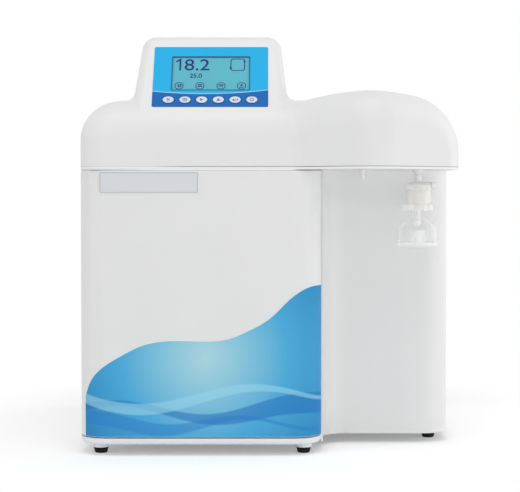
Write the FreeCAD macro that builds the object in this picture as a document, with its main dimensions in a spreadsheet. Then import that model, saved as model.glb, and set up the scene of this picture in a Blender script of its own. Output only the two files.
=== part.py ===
import FreeCAD, Part
import math
import os
import re
import Sketcher

# Ultrapure water system, in millimetres. X runs to the right, Y to the back and Z up.
# The origin is on the bench, below the middle of the machine.

Vector = FreeCAD.Vector
Rotation = FreeCAD.Rotation
Placement = FreeCAD.Placement

# Driving dimensions: every length, angle and count that can be set by itself
SIZES = {
    # whole machine
    "body_depth": 395.0, "cover_overhang": 4.0, "corner_radius": 30.0,
    "panel_wall": 2.5, "metal_gauge": 1.5, "overrun": 2.0, "loose_gap": 0.3,
    "pick_margin": 1.0, "pick_tolerance": 0.005,
    # feet
    "foot_height": 6.5, "foot_top_radius": 8.5, "foot_low_radius": 7.0, "foot_edge": 0.8,
    "foot_stud_radius": 3.0, "foot_stud_length": 4.0,
    "foot_inset": 22.0, "bay_foot_inset": 19.5, "foot_back": 27.0,
    # base tray
    "boss_radius": 9.0, "boss_height": 5.9, "tray_height": 7.1, "tray_edge_radius": 4.0,
    # dispensing bay
    "bay_depth": 90.0, "bay_blend_radius": 28.0, "bay_corner_radius": 30.0, "skirt_clearance": 10.5,
    # door
    "door_height": 295.3, "door_gap": 1.2, "door_rear_gap": 1.8, "door_depth": 34.0, "door_wall": 3.0,
    "door_edge_radius": 1.2, "rib_depth": 10.0, "rib_wall": 2.0, "rib_pitch": 70.0,
    "post_width": 8.0, "post_height": 14.0, "post_inset": 8.0, "post_end": 52.0,
    "strike_thickness": 1.2, "magnet_gap": 0.5, "magnet_depth": 6.0,
    "pivot_inset": 7.0, "pivot_back": 22.0, "pin_radius": 2.0, "running_gap": 0.08,
    "pin_reach": 8.0, "pin_root": 4.0, "collar_radius": 3.6, "collar_play": 0.15,
    # blue film on the door
    "film_thickness": 0.3, "film_margin": 0.8, "film_left_angle": 50.0, "film_right_angle": 82.0,
    # bare plate on the door
    "plate_width": 108.0, "plate_height": 22.4, "plate_thickness": 1.0, "plate_recess": 0.6,
    "plate_corner": 1.6, "plate_inset": 24.4, "plate_drop": 2.4,
    # top frame
    "frame_thickness": 3.0, "seam_groove": 0.5, "frame_side_border": 60.0, "frame_front_border": 30.0,
    "frame_pipe_room": 1.8,
    # top cover
    "cover_wall": 3.0, "skirt_height": 29.8, "shoulder_radius": 45.0, "rear_radius": 14.0,
    "corner_softening": 0.4, "rear_edge_radius": 30.0,
    "nose_offset": 98.0, "nose_reach": 38.0, "nose_angle": 35.0, "nose_tip_radius": 45.0,
    "nose_blend_radius": 50.0, "nose_start_angle": 8.0, "nose_corner_radius": 38.0,
    "crest_rise": 8.5, "crest_radius": 286.0, "side_shoulder_radius": 64.0,
    # display head
    "pod_left_room": 10.7, "pod_right_room": 9.74, "pod_draft": 6.0, "pod_corner_radius": 16.0,
    "pod_edge_radius": 12.0, "pod_top_depth": 52.0, "pod_back_run": 50.0, "pod_foot_radius": 11.0,
    "face_setback": 0.4, "face_tilt": 36.0, "face_top_room": 15.63,
    # keypad and display
    "label_low": 12.3, "label_margin": 13.6, "label_top_margin": 14.5, "label_corner": 2.0,
    "label_thickness": 0.8, "label_recess": 0.5,
    "window_rise": 9.1, "window_width": 87.6, "window_height": 49.3, "window_ledge": 3.0,
    "window_thickness": 1.5, "lcd_depth": 8.0, "board_drop": 13.0, "board_thickness": 1.6,
    "board_margin": 4.0, "post_radius": 2.5,
    "key_count": 6.0, "key_spacing": 2.5, "key_margin": 11.55, "key_rise": 5.05, "key_width": 13.3,
    "key_height": 9.7, "key_gap": 0.35, "key_proud": 0.9, "key_travel": 0.8, "key_flange": 1.2,
    "key_flange_reach": 1.4, "key_stem_radius": 1.8, "key_stem_length": 2.5,
    "switch_size": 6.0, "switch_gap": 0.2,
    # dispensing capsule
    "capsule_inset": 43.0, "capsule_back": 30.0, "fitting_radius": 5.8, "fitting_height": 6.3,
    "fitting_low_radius": 2.9, "spigot_radius": 2.4, "spigot_length": 6.0, "water_bore": 1.2,
    "neck_radius": 4.4, "neck_height": 6.7, "cap_radius": 15.0, "cap_slope": 4.6, "cap_skirt": 5.0,
    "vent_radius": 2.0, "vent_boss_radius": 3.5, "vent_boss_start": 8.0, "vent_cap_radius": 3.9,
    "vent_cap_gap": 0.6, "vent_grip": 2.8, "vent_cap_wall": 1.8,
    "body_height": 16.2, "body_radius": 14.6, "body_wall": 1.4,
    "membrane_gap": 1.7, "pleat_depth": 3.0, "membrane_core": 5.0, "pleat_count": 24.0,
    "flange_radius": 16.8, "flange_height": 6.9, "bell_neck_radius": 6.2, "bell_neck_height": 7.6,
    "bell_slope": 12.6, "bell_radius": 21.2, "bell_wall": 1.6, "bell_skirt": 14.8,
    "nozzle_radius": 4.0, "nozzle_tip_radius": 3.1, "nozzle_length": 24.0,
    "dust_cap_radius": 22.4, "dust_cap_height": 4.1, "dust_boss_radius": 8.2, "dust_boss_height": 13.0,
    "dust_boss_bore": 5.2, "dust_cap_play": 0.3,
    # plain water outlet beside the capsule
    "stub_inset": 46.0, "stub_radius": 3.175, "stub_bore": 2.2, "stub_length": 11.6,
    "stub_flange_radius": 4.6, "stub_flange_height": 1.6,
    # cartridge bay
    "partition_wall": 2.0, "return_gap": 2.0,
    "cartridge_radius": 37.0, "cartridge_spacing": 10.0, "cartridge_side": 13.5, "cartridge_front_room": 7.0,
    "cartridge_rear_room": 5.0, "cartridge_lift": 6.5, "cartridge_dome": 16.0, "cartridge_dimple": 3.0,
    "band_inset": 34.0, "band_height": 3.0, "band_sink": 1.2,
    "cartridge_neck_radius": 15.6, "neck_length": 14.0, "socket_radius": 16.0, "socket_depth": 17.0,
    "groove_radius": 19.6, "groove_low": 5.0, "groove_height": 7.0,
    "lug_reach": 19.0, "lug_width": 9.0, "lug_height": 5.0, "lug_low": 6.0, "unlock_turn": 60.0,
    "manifold_height": 30.0, "manifold_end": 41.0, "manifold_lip": 4.4, "manifold_edge": 4.0,
    "manifold_room": 30.6,
    # rear compartment
    "ro_radius": 30.0, "ro_cap_radius": 34.0, "ro_cap_height": 22.0, "ro_headroom": 35.7,
    "ro_side_room": 26.0, "ro_front_room": 16.0,
    "uv_radius": 25.0, "uv_headroom": 17.7, "uv_rear_room": 37.0,
    "uv_end_height": 12.0, "uv_end_radius": 28.0,
    "pump_width": 74.0, "pump_depth": 60.0, "pump_height": 58.0, "pump_side_room": 4.0,
    "pump_front_room": 48.0,
    "motor_radius": 25.0, "motor_height": 60.0,
    "loop_pump_radius": 32.0, "loop_pump_height": 60.0, "loop_pump_wall": 5.0, "loop_side_room": 45.5,
    "loop_front_room": 36.0, "pump_lid_height": 8.0, "shaft_radius": 3.0, "rotor_gap": 3.0,
    "rotor_hub_radius": 9.0, "rotor_height": 34.0, "blade_wall": 3.0, "shaft_seat": 4.0,
    "supply_width": 100.0, "supply_depth": 150.0, "supply_height": 50.0, "supply_inset": 12.0,
    "supply_gap": 14.0,
    "vent_slot": 3.0, "vent_pitch": 8.0, "supply_slot_depth": 2.0,
    "board_length": 160.0, "board_height": 120.0, "board_front_room": 18.0, "board_lift": 95.0,
    "board_standoff": 6.0,
    "chip_height": 4.0, "chip_size": 22.0,
    "valve_width": 90.0, "valve_depth": 42.0, "valve_height": 46.0, "valve_side_room": 17.5,
    "valve_gap": 10.0, "valve_lift": 165.0,
    "coil_radius": 12.0, "coil_height": 34.0, "port_pitch": 26.0,
    "port_reach": 18.0, "port_radius": 8.0, "port_nut_radius": 10.5, "port_nut_height": 6.0,
    "collet_radius": 6.2, "collet_reach": 2.0,
    "port_bore": 4.05, "port_bore_depth": 18.0, "port_shank": 14.0, "port_shank_radius": 6.5,
    "cell_radius": 10.0, "cell_height": 44.0, "cell_back": 60.0, "pipe_radius": 3.2, "pipe_rise": 30.0,
    # rear panel
    "slot_count": 9.0, "slot_width": 70.0, "slot_height": 4.0, "slot_pitch": 10.0, "slot_drop": 27.7,
    "slot_inset": 60.0, "screw_radius": 3.2, "screw_head": 1.6, "screw_inset": 9.0,
    "entry_width": 30.0, "entry_depth": 26.0, "entry_flange": 3.0, "entry_flange_reach": 4.0,
    "entry_top_room": 3.0,
    "entry_inset": 58.0, "entry_lift": 34.0, "socket_width": 24.0, "socket_height": 17.0, "socket_sink": 16.0,
    "socket_rise": 8.0, "blade_width": 2.0, "blade_height": 4.0, "blade_length": 13.0, "blade_pitch": 7.0,
    "earth_rise": 4.0,
    "fuse_width": 22.0, "fuse_height": 8.0, "fuse_low": 6.0, "fuse_sink": 18.0, "fuse_proud": 1.5,
    "rocker_width": 13.0, "rocker_height": 19.0, "rocker_rise": 5.0, "rocker_sink": 10.0, "rocker_proud": 2.6,
    "rocker_gap": 0.6, "rocker_pin_radius": 1.2, "rocker_pin_reach": 1.8,
}

# Places worked out from the driving dimensions
PLACES = {
    "cartridge_pitch": "2 * cartridge_radius + cartridge_spacing",
    "door_width": "2 * (cartridge_pitch + cartridge_radius + cartridge_side)",
    "cartridge_back": "door_depth + cartridge_front_room + cartridge_radius",
    "partition_back": "cartridge_back + cartridge_radius + cartridge_rear_room",
    "manifold_depth": "cartridge_rear_room + cartridge_radius + groove_radius + manifold_lip",
    "return_front": "door_depth + return_gap",
    "key_pitch": "key_width + 2 * key_flange_reach + key_spacing",
    "key_row": "key_height / 2 + key_rise",
    "label_width": "(key_count - 1) * key_pitch + key_width + 2 * key_margin",
    "window_low": "key_row + key_height / 2 + key_gap + window_rise",
    "label_height": "window_low + window_height + label_top_margin",
    "pod_top_width": "label_width + 2 * label_margin",
    "face_length": "label_low + label_height + face_top_room",
    "face_sink": "shoulder_radius - (shoulder_radius - face_setback) * sin(face_tilt)",
    "pod_rise": "face_length * cos(face_tilt) - face_sink",
    "tip_half": "nose_tip_radius * sin(nose_angle)",
    "tip_drop": "nose_tip_radius * (1 - cos(nose_angle))",
    "blend_half": "nose_blend_radius * (sin(nose_angle) - sin(nose_start_angle))",
    "blend_drop": "nose_blend_radius * (cos(nose_start_angle) - cos(nose_angle))",
    "nose_half": "tip_half + (nose_reach - tip_drop - blend_drop) / tan(nose_angle) + blend_half",
    "pod_inset": "shoulder_radius + pod_foot_radius + pod_top_width / 2 + pod_left_room",
    "nose_inset": "pod_inset + pod_top_width / 2 + pod_foot_radius + pod_right_room + nose_half",
    "body_width": "nose_inset + nose_offset",
    "side_left": "-(body_width + cover_overhang) / 2",
    "side_right": "side_left + body_width",
    "cover_right": "side_right + cover_overhang",
    "door_right": "side_left + door_width",
    "front": "-(body_depth + port_reach - nose_reach) / 2",
    "rear": "front + body_depth",
    "tray_low": "foot_height + boss_height",
    "tray_top": "tray_low + tray_height",
    "door_low": "tray_top + door_gap",
    "door_top": "door_low + door_height",
    "frame_low": "door_top + door_gap",
    "frame_top": "frame_low + frame_thickness",
    "shoulder_z": "frame_top + skirt_height",
    "deck": "shoulder_z + shoulder_radius",
    "pod_x": "side_left + pod_inset",
    "face_y": "front + shoulder_radius - (shoulder_radius - face_setback) * cos(face_tilt)",
    "face_z": "shoulder_z + (shoulder_radius - face_setback) * sin(face_tilt)",
    "pivot_x": "side_left + pivot_inset",
    "pivot_y": "front + pivot_back",
    "capsule_x": "side_right - capsule_inset",
    "capsule_y": "front + capsule_back",
    "neck_top": "frame_low - fitting_height - loose_gap",
    "cap_low": "neck_top - neck_height - cap_slope - cap_skirt",
    "body_low": "cap_low - body_height",
    "flange_low": "body_low - flange_height",
    "bell_low": "flange_low - bell_neck_height - bell_slope - bell_skirt",
    "cartridge_y": "front + cartridge_back",
    "cartridge_x": "(side_left + door_right) / 2",
    "cartridge_low": "tray_top + cartridge_lift",
    "cartridge_height": "frame_low - manifold_room - manifold_height - 2 * loose_gap - cartridge_low",
    "cartridge_top": "cartridge_low + cartridge_height",
    "socket_low_z": "cartridge_top + 2 * loose_gap",
    "bay_back": "front + bay_depth",
    "entry_x": "side_left + entry_inset",
    "entry_z": "tray_top + entry_lift",
    "socket_low": "fuse_low + fuse_height + socket_rise",
    "rocker_low": "socket_low + socket_height + rocker_rise",
    "entry_height": "rocker_low + rocker_height + entry_top_room",
    "rocker_reach": "(rocker_height + rocker_gap) / 2",
    "rocker_proud_rise": "rocker_sink / 3 + rocker_proud",
    "rocker_flush_rise": "rocker_sink / 3 + rocker_proud / 3",
    "rocker_proud_end": "sqrt((rocker_reach - rocker_proud_rise) * (rocker_reach + rocker_proud_rise))",
    "rocker_flush_end": "sqrt((rocker_reach - rocker_flush_rise) * (rocker_reach + rocker_flush_rise))",
    "rear_space": "front + partition_back + partition_wall",
    "valve_x": "side_right - panel_wall - valve_side_room - valve_width",
    "valve_z": "tray_top + valve_lift",
    "port_z": "valve_z + valve_height / 2",
    "loop_x": "side_right - panel_wall - loop_side_room - loop_pump_radius",
    "loop_y": "rear_space + loop_front_room + loop_pump_radius",
    "uv_x": "valve_x - valve_gap - uv_end_radius",
    "uv_y": "rear - uv_rear_room - uv_end_radius",
    "uv_height": "frame_low - tray_top - uv_headroom",
    "supply_x": "side_left + supply_inset",
    "supply_y": "rear - entry_depth - supply_gap - supply_depth",
    "ro_x": "supply_x + supply_width + ro_side_room + ro_cap_radius",
    "ro_y": "rear_space + ro_front_room + ro_cap_radius",
    "ro_height": "frame_low - tray_top - ro_headroom",
    "pump_x": "ro_x + ro_cap_radius + pump_side_room",
    "pump_y": "rear_space + pump_front_room",
    "switch_height": "board_drop - loose_gap - key_flange - key_stem_length - key_travel - switch_gap",
    "vent_cap_start": "cap_radius + vent_cap_gap",
    "vent_reach": "vent_cap_start + vent_grip",
    "vent_cap_end": "vent_reach + vent_cap_wall",
    "membrane_outer": "body_radius - body_wall - membrane_gap",
    "membrane_inner": "membrane_outer - pleat_depth",
    "stub_x": "door_right + stub_inset",
    "post_wall": "post_inset - door_wall / 2",
    "post_start": "corner_radius - sqrt((2 * corner_radius - door_wall / 2 - post_inset) * post_wall)",
}

doc = FreeCAD.newDocument("WaterSystem")
sheet = doc.addObject("Spreadsheet::Sheet", "Sizes")
for row, (alias, value) in enumerate(SIZES.items(), start=1):
    sheet.set(f"A{row}", alias)
    sheet.set(f"B{row}", str(value))
    sheet.setAlias(f"B{row}", alias)
doc.recompute()


def full(expression):
    """An expression in plain size and place names, with each name's owner written out."""
    def owner(match):
        word = match.group()
        if word in SIZES:
            return "Sizes." + word
        return "Places." + word if word in PLACES else word
    return re.sub(r"[a-z_]+", owner, str(expression))


places = doc.addObject("App::VarSet", "Places")
for name in PLACES:
    places.addProperty("App::PropertyFloat", name)
for name, expression in PLACES.items():
    places.setExpression(name, full(expression))
doc.recompute()

nodes = []


def value(expression):
    """The present number of an expression in size and place names."""
    return float(sheet.evalExpression(full(expression)))


def bind(thing, **expressions):
    for prop, expression in expressions.items():
        thing.setExpression(prop.replace("__", "."), full(expression))
    return thing


TURNS = {
    "up": Rotation(),
    "down": Rotation(Vector(1, 0, 0), 180),
    "right": Rotation(Vector(0, 1, 0), 90),
    "back": Rotation(Vector(1, 0, 0), -90),
    "front": Rotation(Vector(1, 0, 0), 90),
}


def put(thing, x, y, z, facing="up"):
    """Place a thing with its own Z axis facing one way, at bound coordinates."""
    thing.Placement = Placement(Vector(), TURNS[facing])
    return bind(thing, Placement__Base__x=x, Placement__Base__y=y, Placement__Base__z=z)


def put_on_face(thing, x, along, out):
    """Place a thing on the display face: x across, along up the slope, out of the face."""
    thing.Placement = Placement(Vector(), Rotation(Vector(1, 0, 0), 1))
    bind(thing, Placement__Rotation__Angle="90 - face_tilt")
    y = f"face_y + ({along}) * sin(face_tilt) - ({out}) * cos(face_tilt)"
    z = f"face_z + ({along}) * cos(face_tilt) + ({out}) * sin(face_tilt)"
    return bind(thing, Placement__Base__x=f"pod_x + {x}", Placement__Base__y=y, Placement__Base__z=z)


def box(x, y, z, length, width, height):
    block = doc.addObject("Part::Box", "Block")
    bind(block, Length=length, Width=width, Height=height)
    return put(block, x, y, z)


def rod(x, y, z, radius, height, facing="up"):
    cylinder = doc.addObject("Part::Cylinder", "Rod")
    bind(cylinder, Radius=radius, Height=height)
    return put(cylinder, x, y, z, facing)


def cone(x, y, z, low_radius, high_radius, height, facing="up"):
    taper = doc.addObject("Part::Cone", "Taper")
    bind(taper, Radius1=low_radius, Radius2=high_radius, Height=height)
    return put(taper, x, y, z, facing)


def fuse(*things):
    joined = doc.addObject("Part::MultiFuse", "Joined")
    joined.Shapes = list(things)
    joined.Refine = True
    return joined


def cut(base, *tools):
    remains = doc.addObject("Part::Cut", "Remains")
    remains.Base = base
    remains.Tool = tools[0] if len(tools) == 1 else fuse(*tools)
    return remains


def node(label, thing):
    thing.Label = label
    nodes.append(thing)
    return thing


def rectangle(x0, y0, x1, y1):
    return [(x0, y0), (x1, y0), (x1, y1), (x0, y1)]


def rounded(x0, y0, x1, y1, r):
    """A rectangle with round corners: an arc's point also names the arc's centre."""
    left, right, low, high = f"{x0} + {r}", f"{x1} - {r}", f"{y0} + {r}", f"{y1} - {r}"
    return [
        (left, y0), (right, y0), (x1, low, right, low), (x1, high), (right, y1, right, high),
        (left, y1), (x0, high, left, high), (x0, low), (left, y0, left, low),
    ][:-1] + [("close", left, low)]


def oval(x, y, width, height):
    """A slot with half-round ends, drawn as four quarter arcs and two straights."""
    half, run = f"({height}) / 2", f"(({width}) - ({height})) / 2"
    left, right = f"{x} - {run}", f"{x} + {run}"
    low, high = f"{y} - {half}", f"{y} + {half}"
    return [
        (left, low), (right, low), (f"{right} + {half}", y, right, y), (right, high, right, y),
        (left, high), (f"{left} - {half}", y, left, y), ("close", left, y),
    ]


def draw(sketch, outline):
    """Draw one closed outline of lines and arcs, with every point bound by expressions."""
    if outline[0] == "circle":
        kind, x, y, radius = outline
        ring = Part.Circle(Vector(value(x), value(y), 0), Vector(0, 0, 1), value(radius))
        edge = sketch.addGeometry(ring)
        places_of_centre = (("DistanceX", x), ("DistanceY", y))
        for kind, expression in places_of_centre:
            index = sketch.addConstraint(Sketcher.Constraint(kind, -1, 1, edge, 3, value(expression)))
            sketch.setExpression(f"Constraints[{index}]", full(expression))
        index = sketch.addConstraint(Sketcher.Constraint("Radius", edge, value(radius)))
        sketch.setExpression(f"Constraints[{index}]", full(radius))
        return
    closing = outline[-1][1:] if outline[-1][0] == "close" else ()
    points = [point for point in outline if point[0] != "close"]
    count = len(points)
    arcs = {(index + 1) % count: points[(index + 1) % count][2:] for index in range(count)}
    if closing:
        arcs[0] = closing
    edges = []
    for index in range(count):
        after = (index + 1) % count
        start = Vector(value(points[index][0]), value(points[index][1]), 0)
        end = Vector(value(points[after][0]), value(points[after][1]), 0)
        if arcs[after]:
            edges.append(draw_arc(sketch, start, end, *arcs[after]))
        else:
            edges.append((sketch.addGeometry(Part.LineSegment(start, end)), 1, 2))
    for index in range(count):
        edge, first, last = edges[index]
        following, next_first, _ = edges[(index + 1) % count]
        sketch.addConstraint(Sketcher.Constraint("Coincident", edge, last, following, next_first))
        for kind, expression in (("DistanceX", points[index][0]), ("DistanceY", points[index][1])):
            index_of = sketch.addConstraint(
                Sketcher.Constraint(kind, -1, 1, edge, first, value(expression)))
            sketch.setExpression(f"Constraints[{index_of}]", full(expression))


def draw_arc(sketch, start, end, x, y):
    """The arc under a half turn from start to end about a centre; gives its edge and end numbers."""
    centre = Vector(value(x), value(y), 0)
    from_angle = math.atan2(start.y - centre.y, start.x - centre.x)
    to_angle = math.atan2(end.y - centre.y, end.x - centre.x)
    forward = (start - centre).cross(end - centre).z > 0
    circle = Part.Circle(centre, Vector(0, 0, 1), (start - centre).Length)
    if forward:
        edge = sketch.addGeometry(Part.ArcOfCircle(circle, from_angle, to_angle))
    else:
        edge = sketch.addGeometry(Part.ArcOfCircle(circle, to_angle, from_angle))
    chord = end - start
    kind, expression = ("DistanceX", x) if abs(chord.y) >= abs(chord.x) else ("DistanceY", y)
    index = sketch.addConstraint(Sketcher.Constraint(kind, -1, 1, edge, 3, value(expression)))
    sketch.setExpression(f"Constraints[{index}]", full(expression))
    return (edge, 1, 2) if forward else (edge, 2, 1)


def new_sketch(body, plane, outlines):
    sketch = body.newObject("Sketcher::SketchObject", "Outline")
    origin_plane = [feature for feature in body.Origin.OriginFeatures if feature.Role == plane][0]
    sketch.AttachmentSupport = [(origin_plane, "")]
    sketch.MapMode = "FlatFace"
    for outline in outlines:
        draw(sketch, outline)
    return sketch


def plate(outlines, thickness):
    """A body padded up from outlines in plan: the first is its edge, the others are holes."""
    body = doc.addObject("PartDesign::Body", "Plate")
    pad = body.newObject("PartDesign::Pad", "Pad")
    pad.Profile = new_sketch(body, "XY_Plane", outlines)
    bind(pad, Length=thickness)
    doc.recompute()
    return body


def turned(profile):
    """A body turned about its own Z axis from a half profile of (radius, height) points."""
    body = doc.addObject("PartDesign::Body", "Turned")
    sketch = new_sketch(body, "XZ_Plane", [profile])
    spin = body.newObject("PartDesign::Revolution", "Spin")
    spin.Profile = sketch
    spin.ReferenceAxis = (sketch, ["V_Axis"])
    spin.Angle = 360
    doc.recompute()
    return body


def soften(body, radius, test):
    """Round the edges of a body that pass a test on their box, in the body's own frame."""
    doc.recompute()
    tip = body.Tip
    names = [f"Edge{i}" for i, edge in enumerate(tip.Shape.Edges, start=1) if test(edge.BoundBox)]
    fillet = body.newObject("PartDesign::Fillet", "Soft")
    fillet.Base = (tip, names)
    bind(fillet, Radius=radius)
    body.Tip = fillet
    doc.recompute()
    return body


def feature(label, shape):
    thing = doc.addObject("Part::Feature", "Form")
    thing.Shape = shape
    return node(label, thing)


def near(first, second):
    return abs(first - second) < value("loose_gap") / 10


# Base tray: an L-shaped moulding under the door side and behind the bay, on five round bosses
def foot_places():
    bay_x = "side_right - bay_foot_inset"
    rear_y = "rear - foot_back"
    return {
        "foot_front_left": ("side_left + foot_inset", "front + foot_back"),
        "foot_front_middle": ("door_right - bay_foot_inset", "front + foot_back"),
        "foot_bay": (bay_x, "bay_back + panel_wall + foot_back + foot_inset / 2"),
        "foot_rear_left": ("side_left + foot_inset", rear_y),
        "foot_rear_right": (bay_x, rear_y),
    }


def base_tray():
    right, step = "side_right - panel_wall", "bay_back + panel_wall"
    inner = "bay_corner_radius - panel_wall"
    outline = [
        ("side_left + corner_radius", "front"), ("door_right - corner_radius", "front"),
        ("door_right", "front + corner_radius", "door_right - corner_radius", "front + corner_radius"),
        ("door_right", step), (f"{right} - ({inner})", step),
        (right, f"{step} + {inner}", f"{right} - ({inner})", f"{step} + {inner}"),
        (right, "rear"), ("side_left", "rear"), ("side_left", "front + corner_radius"),
        ("close", "side_left + corner_radius", "front + corner_radius"),
    ]
    tray = plate([outline], "tray_height")
    margin = value("pick_margin")
    soften(tray, "tray_edge_radius", lambda b: b.ZMax < margin and b.YMin < value("rear") - margin)
    put(tray, "0", "0", "tray_low")
    bosses = [rod(x, y, "foot_height", "boss_radius", "boss_height + tray_edge_radius")
              for x, y in foot_places().values()]
    studs = [rod(x, y, "foot_height - overrun", "foot_stud_radius", "foot_stud_length + overrun")
             for x, y in foot_places().values()]
    pin = rod("pivot_x", "pivot_y", "tray_top - pin_root", "pin_radius", "pin_root + overrun")
    node("base_tray", cut(fuse(tray, *bosses), pin, *studs))


def feet():
    """Rubber feet: tapered pads with a stud that presses into the boss above."""
    for label, (x, y) in foot_places().items():
        profile = [
            ("0", "0"), ("foot_low_radius - foot_edge", "0"), ("foot_low_radius", "foot_edge"),
            ("foot_top_radius", "foot_height"), ("foot_stud_radius", "foot_height"),
            ("foot_stud_radius", "foot_height + foot_stud_length"), ("0", "foot_height + foot_stud_length"),
        ]
        node(label, put(turned(profile), x, y, "0"))


# Door: a tray-shaped moulding with round front corners, ribs inside and two strike posts
def door_plan(inset):
    """The door's plan, a D with two round front corners, inset from its outside by an expression."""
    left, right = f"side_left + {inset}", f"door_right - ({inset})"
    face = f"front + {inset}"
    back = "front + door_depth"
    middle_y = "front + corner_radius"
    middle_left, middle_right = "side_left + corner_radius", "door_right - corner_radius"
    return [
        (middle_left, face), (middle_right, face), (right, middle_y, middle_right, middle_y),
        (right, back), (left, back), (left, middle_y), ("close", middle_left, middle_y),
    ]


def strike_heights():
    return ["door_low + post_end", "door_top - post_end"]


def door_shell():
    body = plate([door_plan("0")], "door_height")
    front, margin = value("front"), value("pick_margin")
    soften(body, "door_edge_radius", lambda b: b.ZLength < margin and b.YMin < front + margin
           or b.ZLength < margin < b.YLength and b.YMax < front + value("corner_radius") + margin)
    put(body, "0", "0", "door_low")
    hollow_plan = door_plan("door_wall")
    hollow_plan[3] = (hollow_plan[3][0], "front + door_depth + overrun")
    hollow_plan[4] = (hollow_plan[4][0], "front + door_depth + overrun")
    hollow = put(plate([hollow_plan], "door_height - 2 * door_wall"), "0", "0", "door_low + door_wall")
    pin_hole = rod("pivot_x", "pivot_y", "door_low - overrun", "pin_radius + running_gap",
                   "door_height + 2 * overrun")
    recess = box("side_left + plate_inset", "front - overrun", "door_top - plate_drop - plate_height",
                 "plate_width", "plate_recess + overrun", "plate_height")
    ribs = []
    for step in range(1, int(value("door_height / rib_pitch")) + 1):
        ribs.append(box("side_left + door_wall", "front + door_wall / 2",
                        f"door_low + {step} * rib_pitch - rib_wall / 2",
                        "door_width - 2 * door_wall - corner_radius", "rib_depth + door_wall / 2", "rib_wall"))
    ribs = [cut(rib, cut_corner()) for rib in ribs]
    post_length = "return_front - magnet_gap - strike_thickness - post_start"
    posts = [box("door_right - post_inset - post_width", "front + post_start", f"{z} - post_height / 2",
                 "post_width", post_length, "post_height") for z in strike_heights()]
    node("door_shell", cut(fuse(cut(body, hollow), *ribs, *posts), pin_hole, recess))


def cut_corner():
    """The block that trims the ribs back from the door's round hinge corner."""
    return box("side_left - overrun", "front - overrun", "0", "corner_radius + overrun",
               "rib_depth + door_wall + 2 * overrun", "door_top")


def strike_plates():
    x = "door_right - post_inset - post_width"
    y = "front + return_front - magnet_gap - strike_thickness"
    node("strike_plates", fuse(*[
        box(x, y, f"{z} - post_height / 2", "post_width", "strike_thickness", "post_height")
        for z in strike_heights()]))


def door_magnets():
    x = "door_right - post_inset - post_width"
    shelf = "door_right - partition_wall"
    node("door_magnets", fuse(*[
        box(x, "front + return_front", f"{z} - post_height / 2", f"{shelf} - ({x})", "magnet_depth",
            "post_height")
        for z in strike_heights()]))


def hinge_pins():
    """Steel pivot pins with a collar that carries the door; each stands in the part beside it."""
    collar_top = "pin_root + door_gap - collar_play"
    profile = [
        ("0", "0"), ("pin_radius", "0"), ("pin_radius", "pin_root"), ("collar_radius", "pin_root"),
        ("collar_radius", collar_top), ("pin_radius", collar_top),
        ("pin_radius", "pin_root + door_gap + pin_reach"), ("0", "pin_root + door_gap + pin_reach"),
    ]
    node("hinge_pin_lower", put(turned(profile), "pivot_x", "pivot_y", "tray_top - pin_root"))
    upper = [(radius, height.replace("pin_root", "frame_thickness")) for radius, height in profile]
    node("hinge_pin_upper", put(turned(upper), "pivot_x", "pivot_y", "frame_top", "down"))


# Blue film: a thin printed sheet on the lower door, round both corners, with a waved top edge
WAVE_SHARES = (
    (0.0, 0.02), (0.022, 0.133), (0.035, 0.179), (0.056, 0.220), (0.110, 0.269), (0.181, 0.308),
    (0.251, 0.340), (0.321, 0.357), (0.420, 0.362), (0.518, 0.360), (0.575, 0.362), (0.631, 0.373),
    (0.702, 0.401), (0.772, 0.436), (0.814, 0.468), (0.856, 0.507), (0.899, 0.539), (0.941, 0.560),
    (1.0, 0.567),
)


def plan_band(inner, outer):
    """The plan face between two offsets from the door's outside, round each corner by its wrap."""
    radius = value("corner_radius")
    wraps = [-math.radians(value("film_left_angle")), math.radians(value("film_right_angle"))]
    middle_y = value("front") + radius
    centres = (value("side_left") + radius, value("door_right") - radius)

    def along(offset):
        reach = radius + offset
        ends = [Vector(x + reach * math.sin(wrap), middle_y - reach * math.cos(wrap), 0)
                for x, wrap in zip(centres, wraps)]
        middles = [Vector(x + reach * math.sin(wrap / 2), middle_y - reach * math.cos(wrap / 2), 0)
                   for x, wrap in zip(centres, wraps)]
        fronts = [Vector(x, middle_y - reach, 0) for x in centres]
        return ends, [Part.Arc(ends[0], middles[0], fronts[0]).toShape(),
                      Part.makeLine(fronts[0], fronts[1]),
                      Part.Arc(fronts[1], middles[1], ends[1]).toShape()]

    inner_ends, inner_edges = along(inner)
    outer_ends, outer_edges = along(outer)
    sides = [Part.makeLine(*pair) for pair in zip(inner_ends, outer_ends)]
    return Part.Face(Part.Wire(Part.__sortEdges__(inner_edges + outer_edges + sides)))


def door_film():
    band = plan_band(0, value("film_thickness"))
    low, high = value("door_low + film_margin"), value("door_top")
    band.translate(Vector(0, 0, low))
    sheet_solid = band.extrude(Vector(0, 0, high - low))
    left, width = value("side_left"), value("door_width")
    start, depth = value("front - overrun"), value("door_depth")
    points = [Vector(left + x * width, start, value("door_low") + z * value("door_height"))
              for x, z in WAVE_SHARES]
    curve = Part.BSplineCurve()
    curve.interpolate(points)
    corners = [Vector(points[-1].x, start, 0), Vector(points[0].x, start, 0)]
    wave = Part.Wire([curve.toShape(), Part.makeLine(points[-1], corners[0]),
                      Part.makeLine(corners[0], corners[1]), Part.makeLine(corners[1], points[0])])
    feature("door_film", sheet_solid.common(Part.Face(wave).extrude(Vector(0, depth, 0))))


def name_plate():
    outline = rounded("0", "0", "plate_width", "plate_height", "plate_corner")
    node("name_plate", put(plate([outline], "plate_thickness"), "side_left + plate_inset",
                           "front + plate_recess", "door_top - plate_drop - plate_height", "front"))


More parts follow.
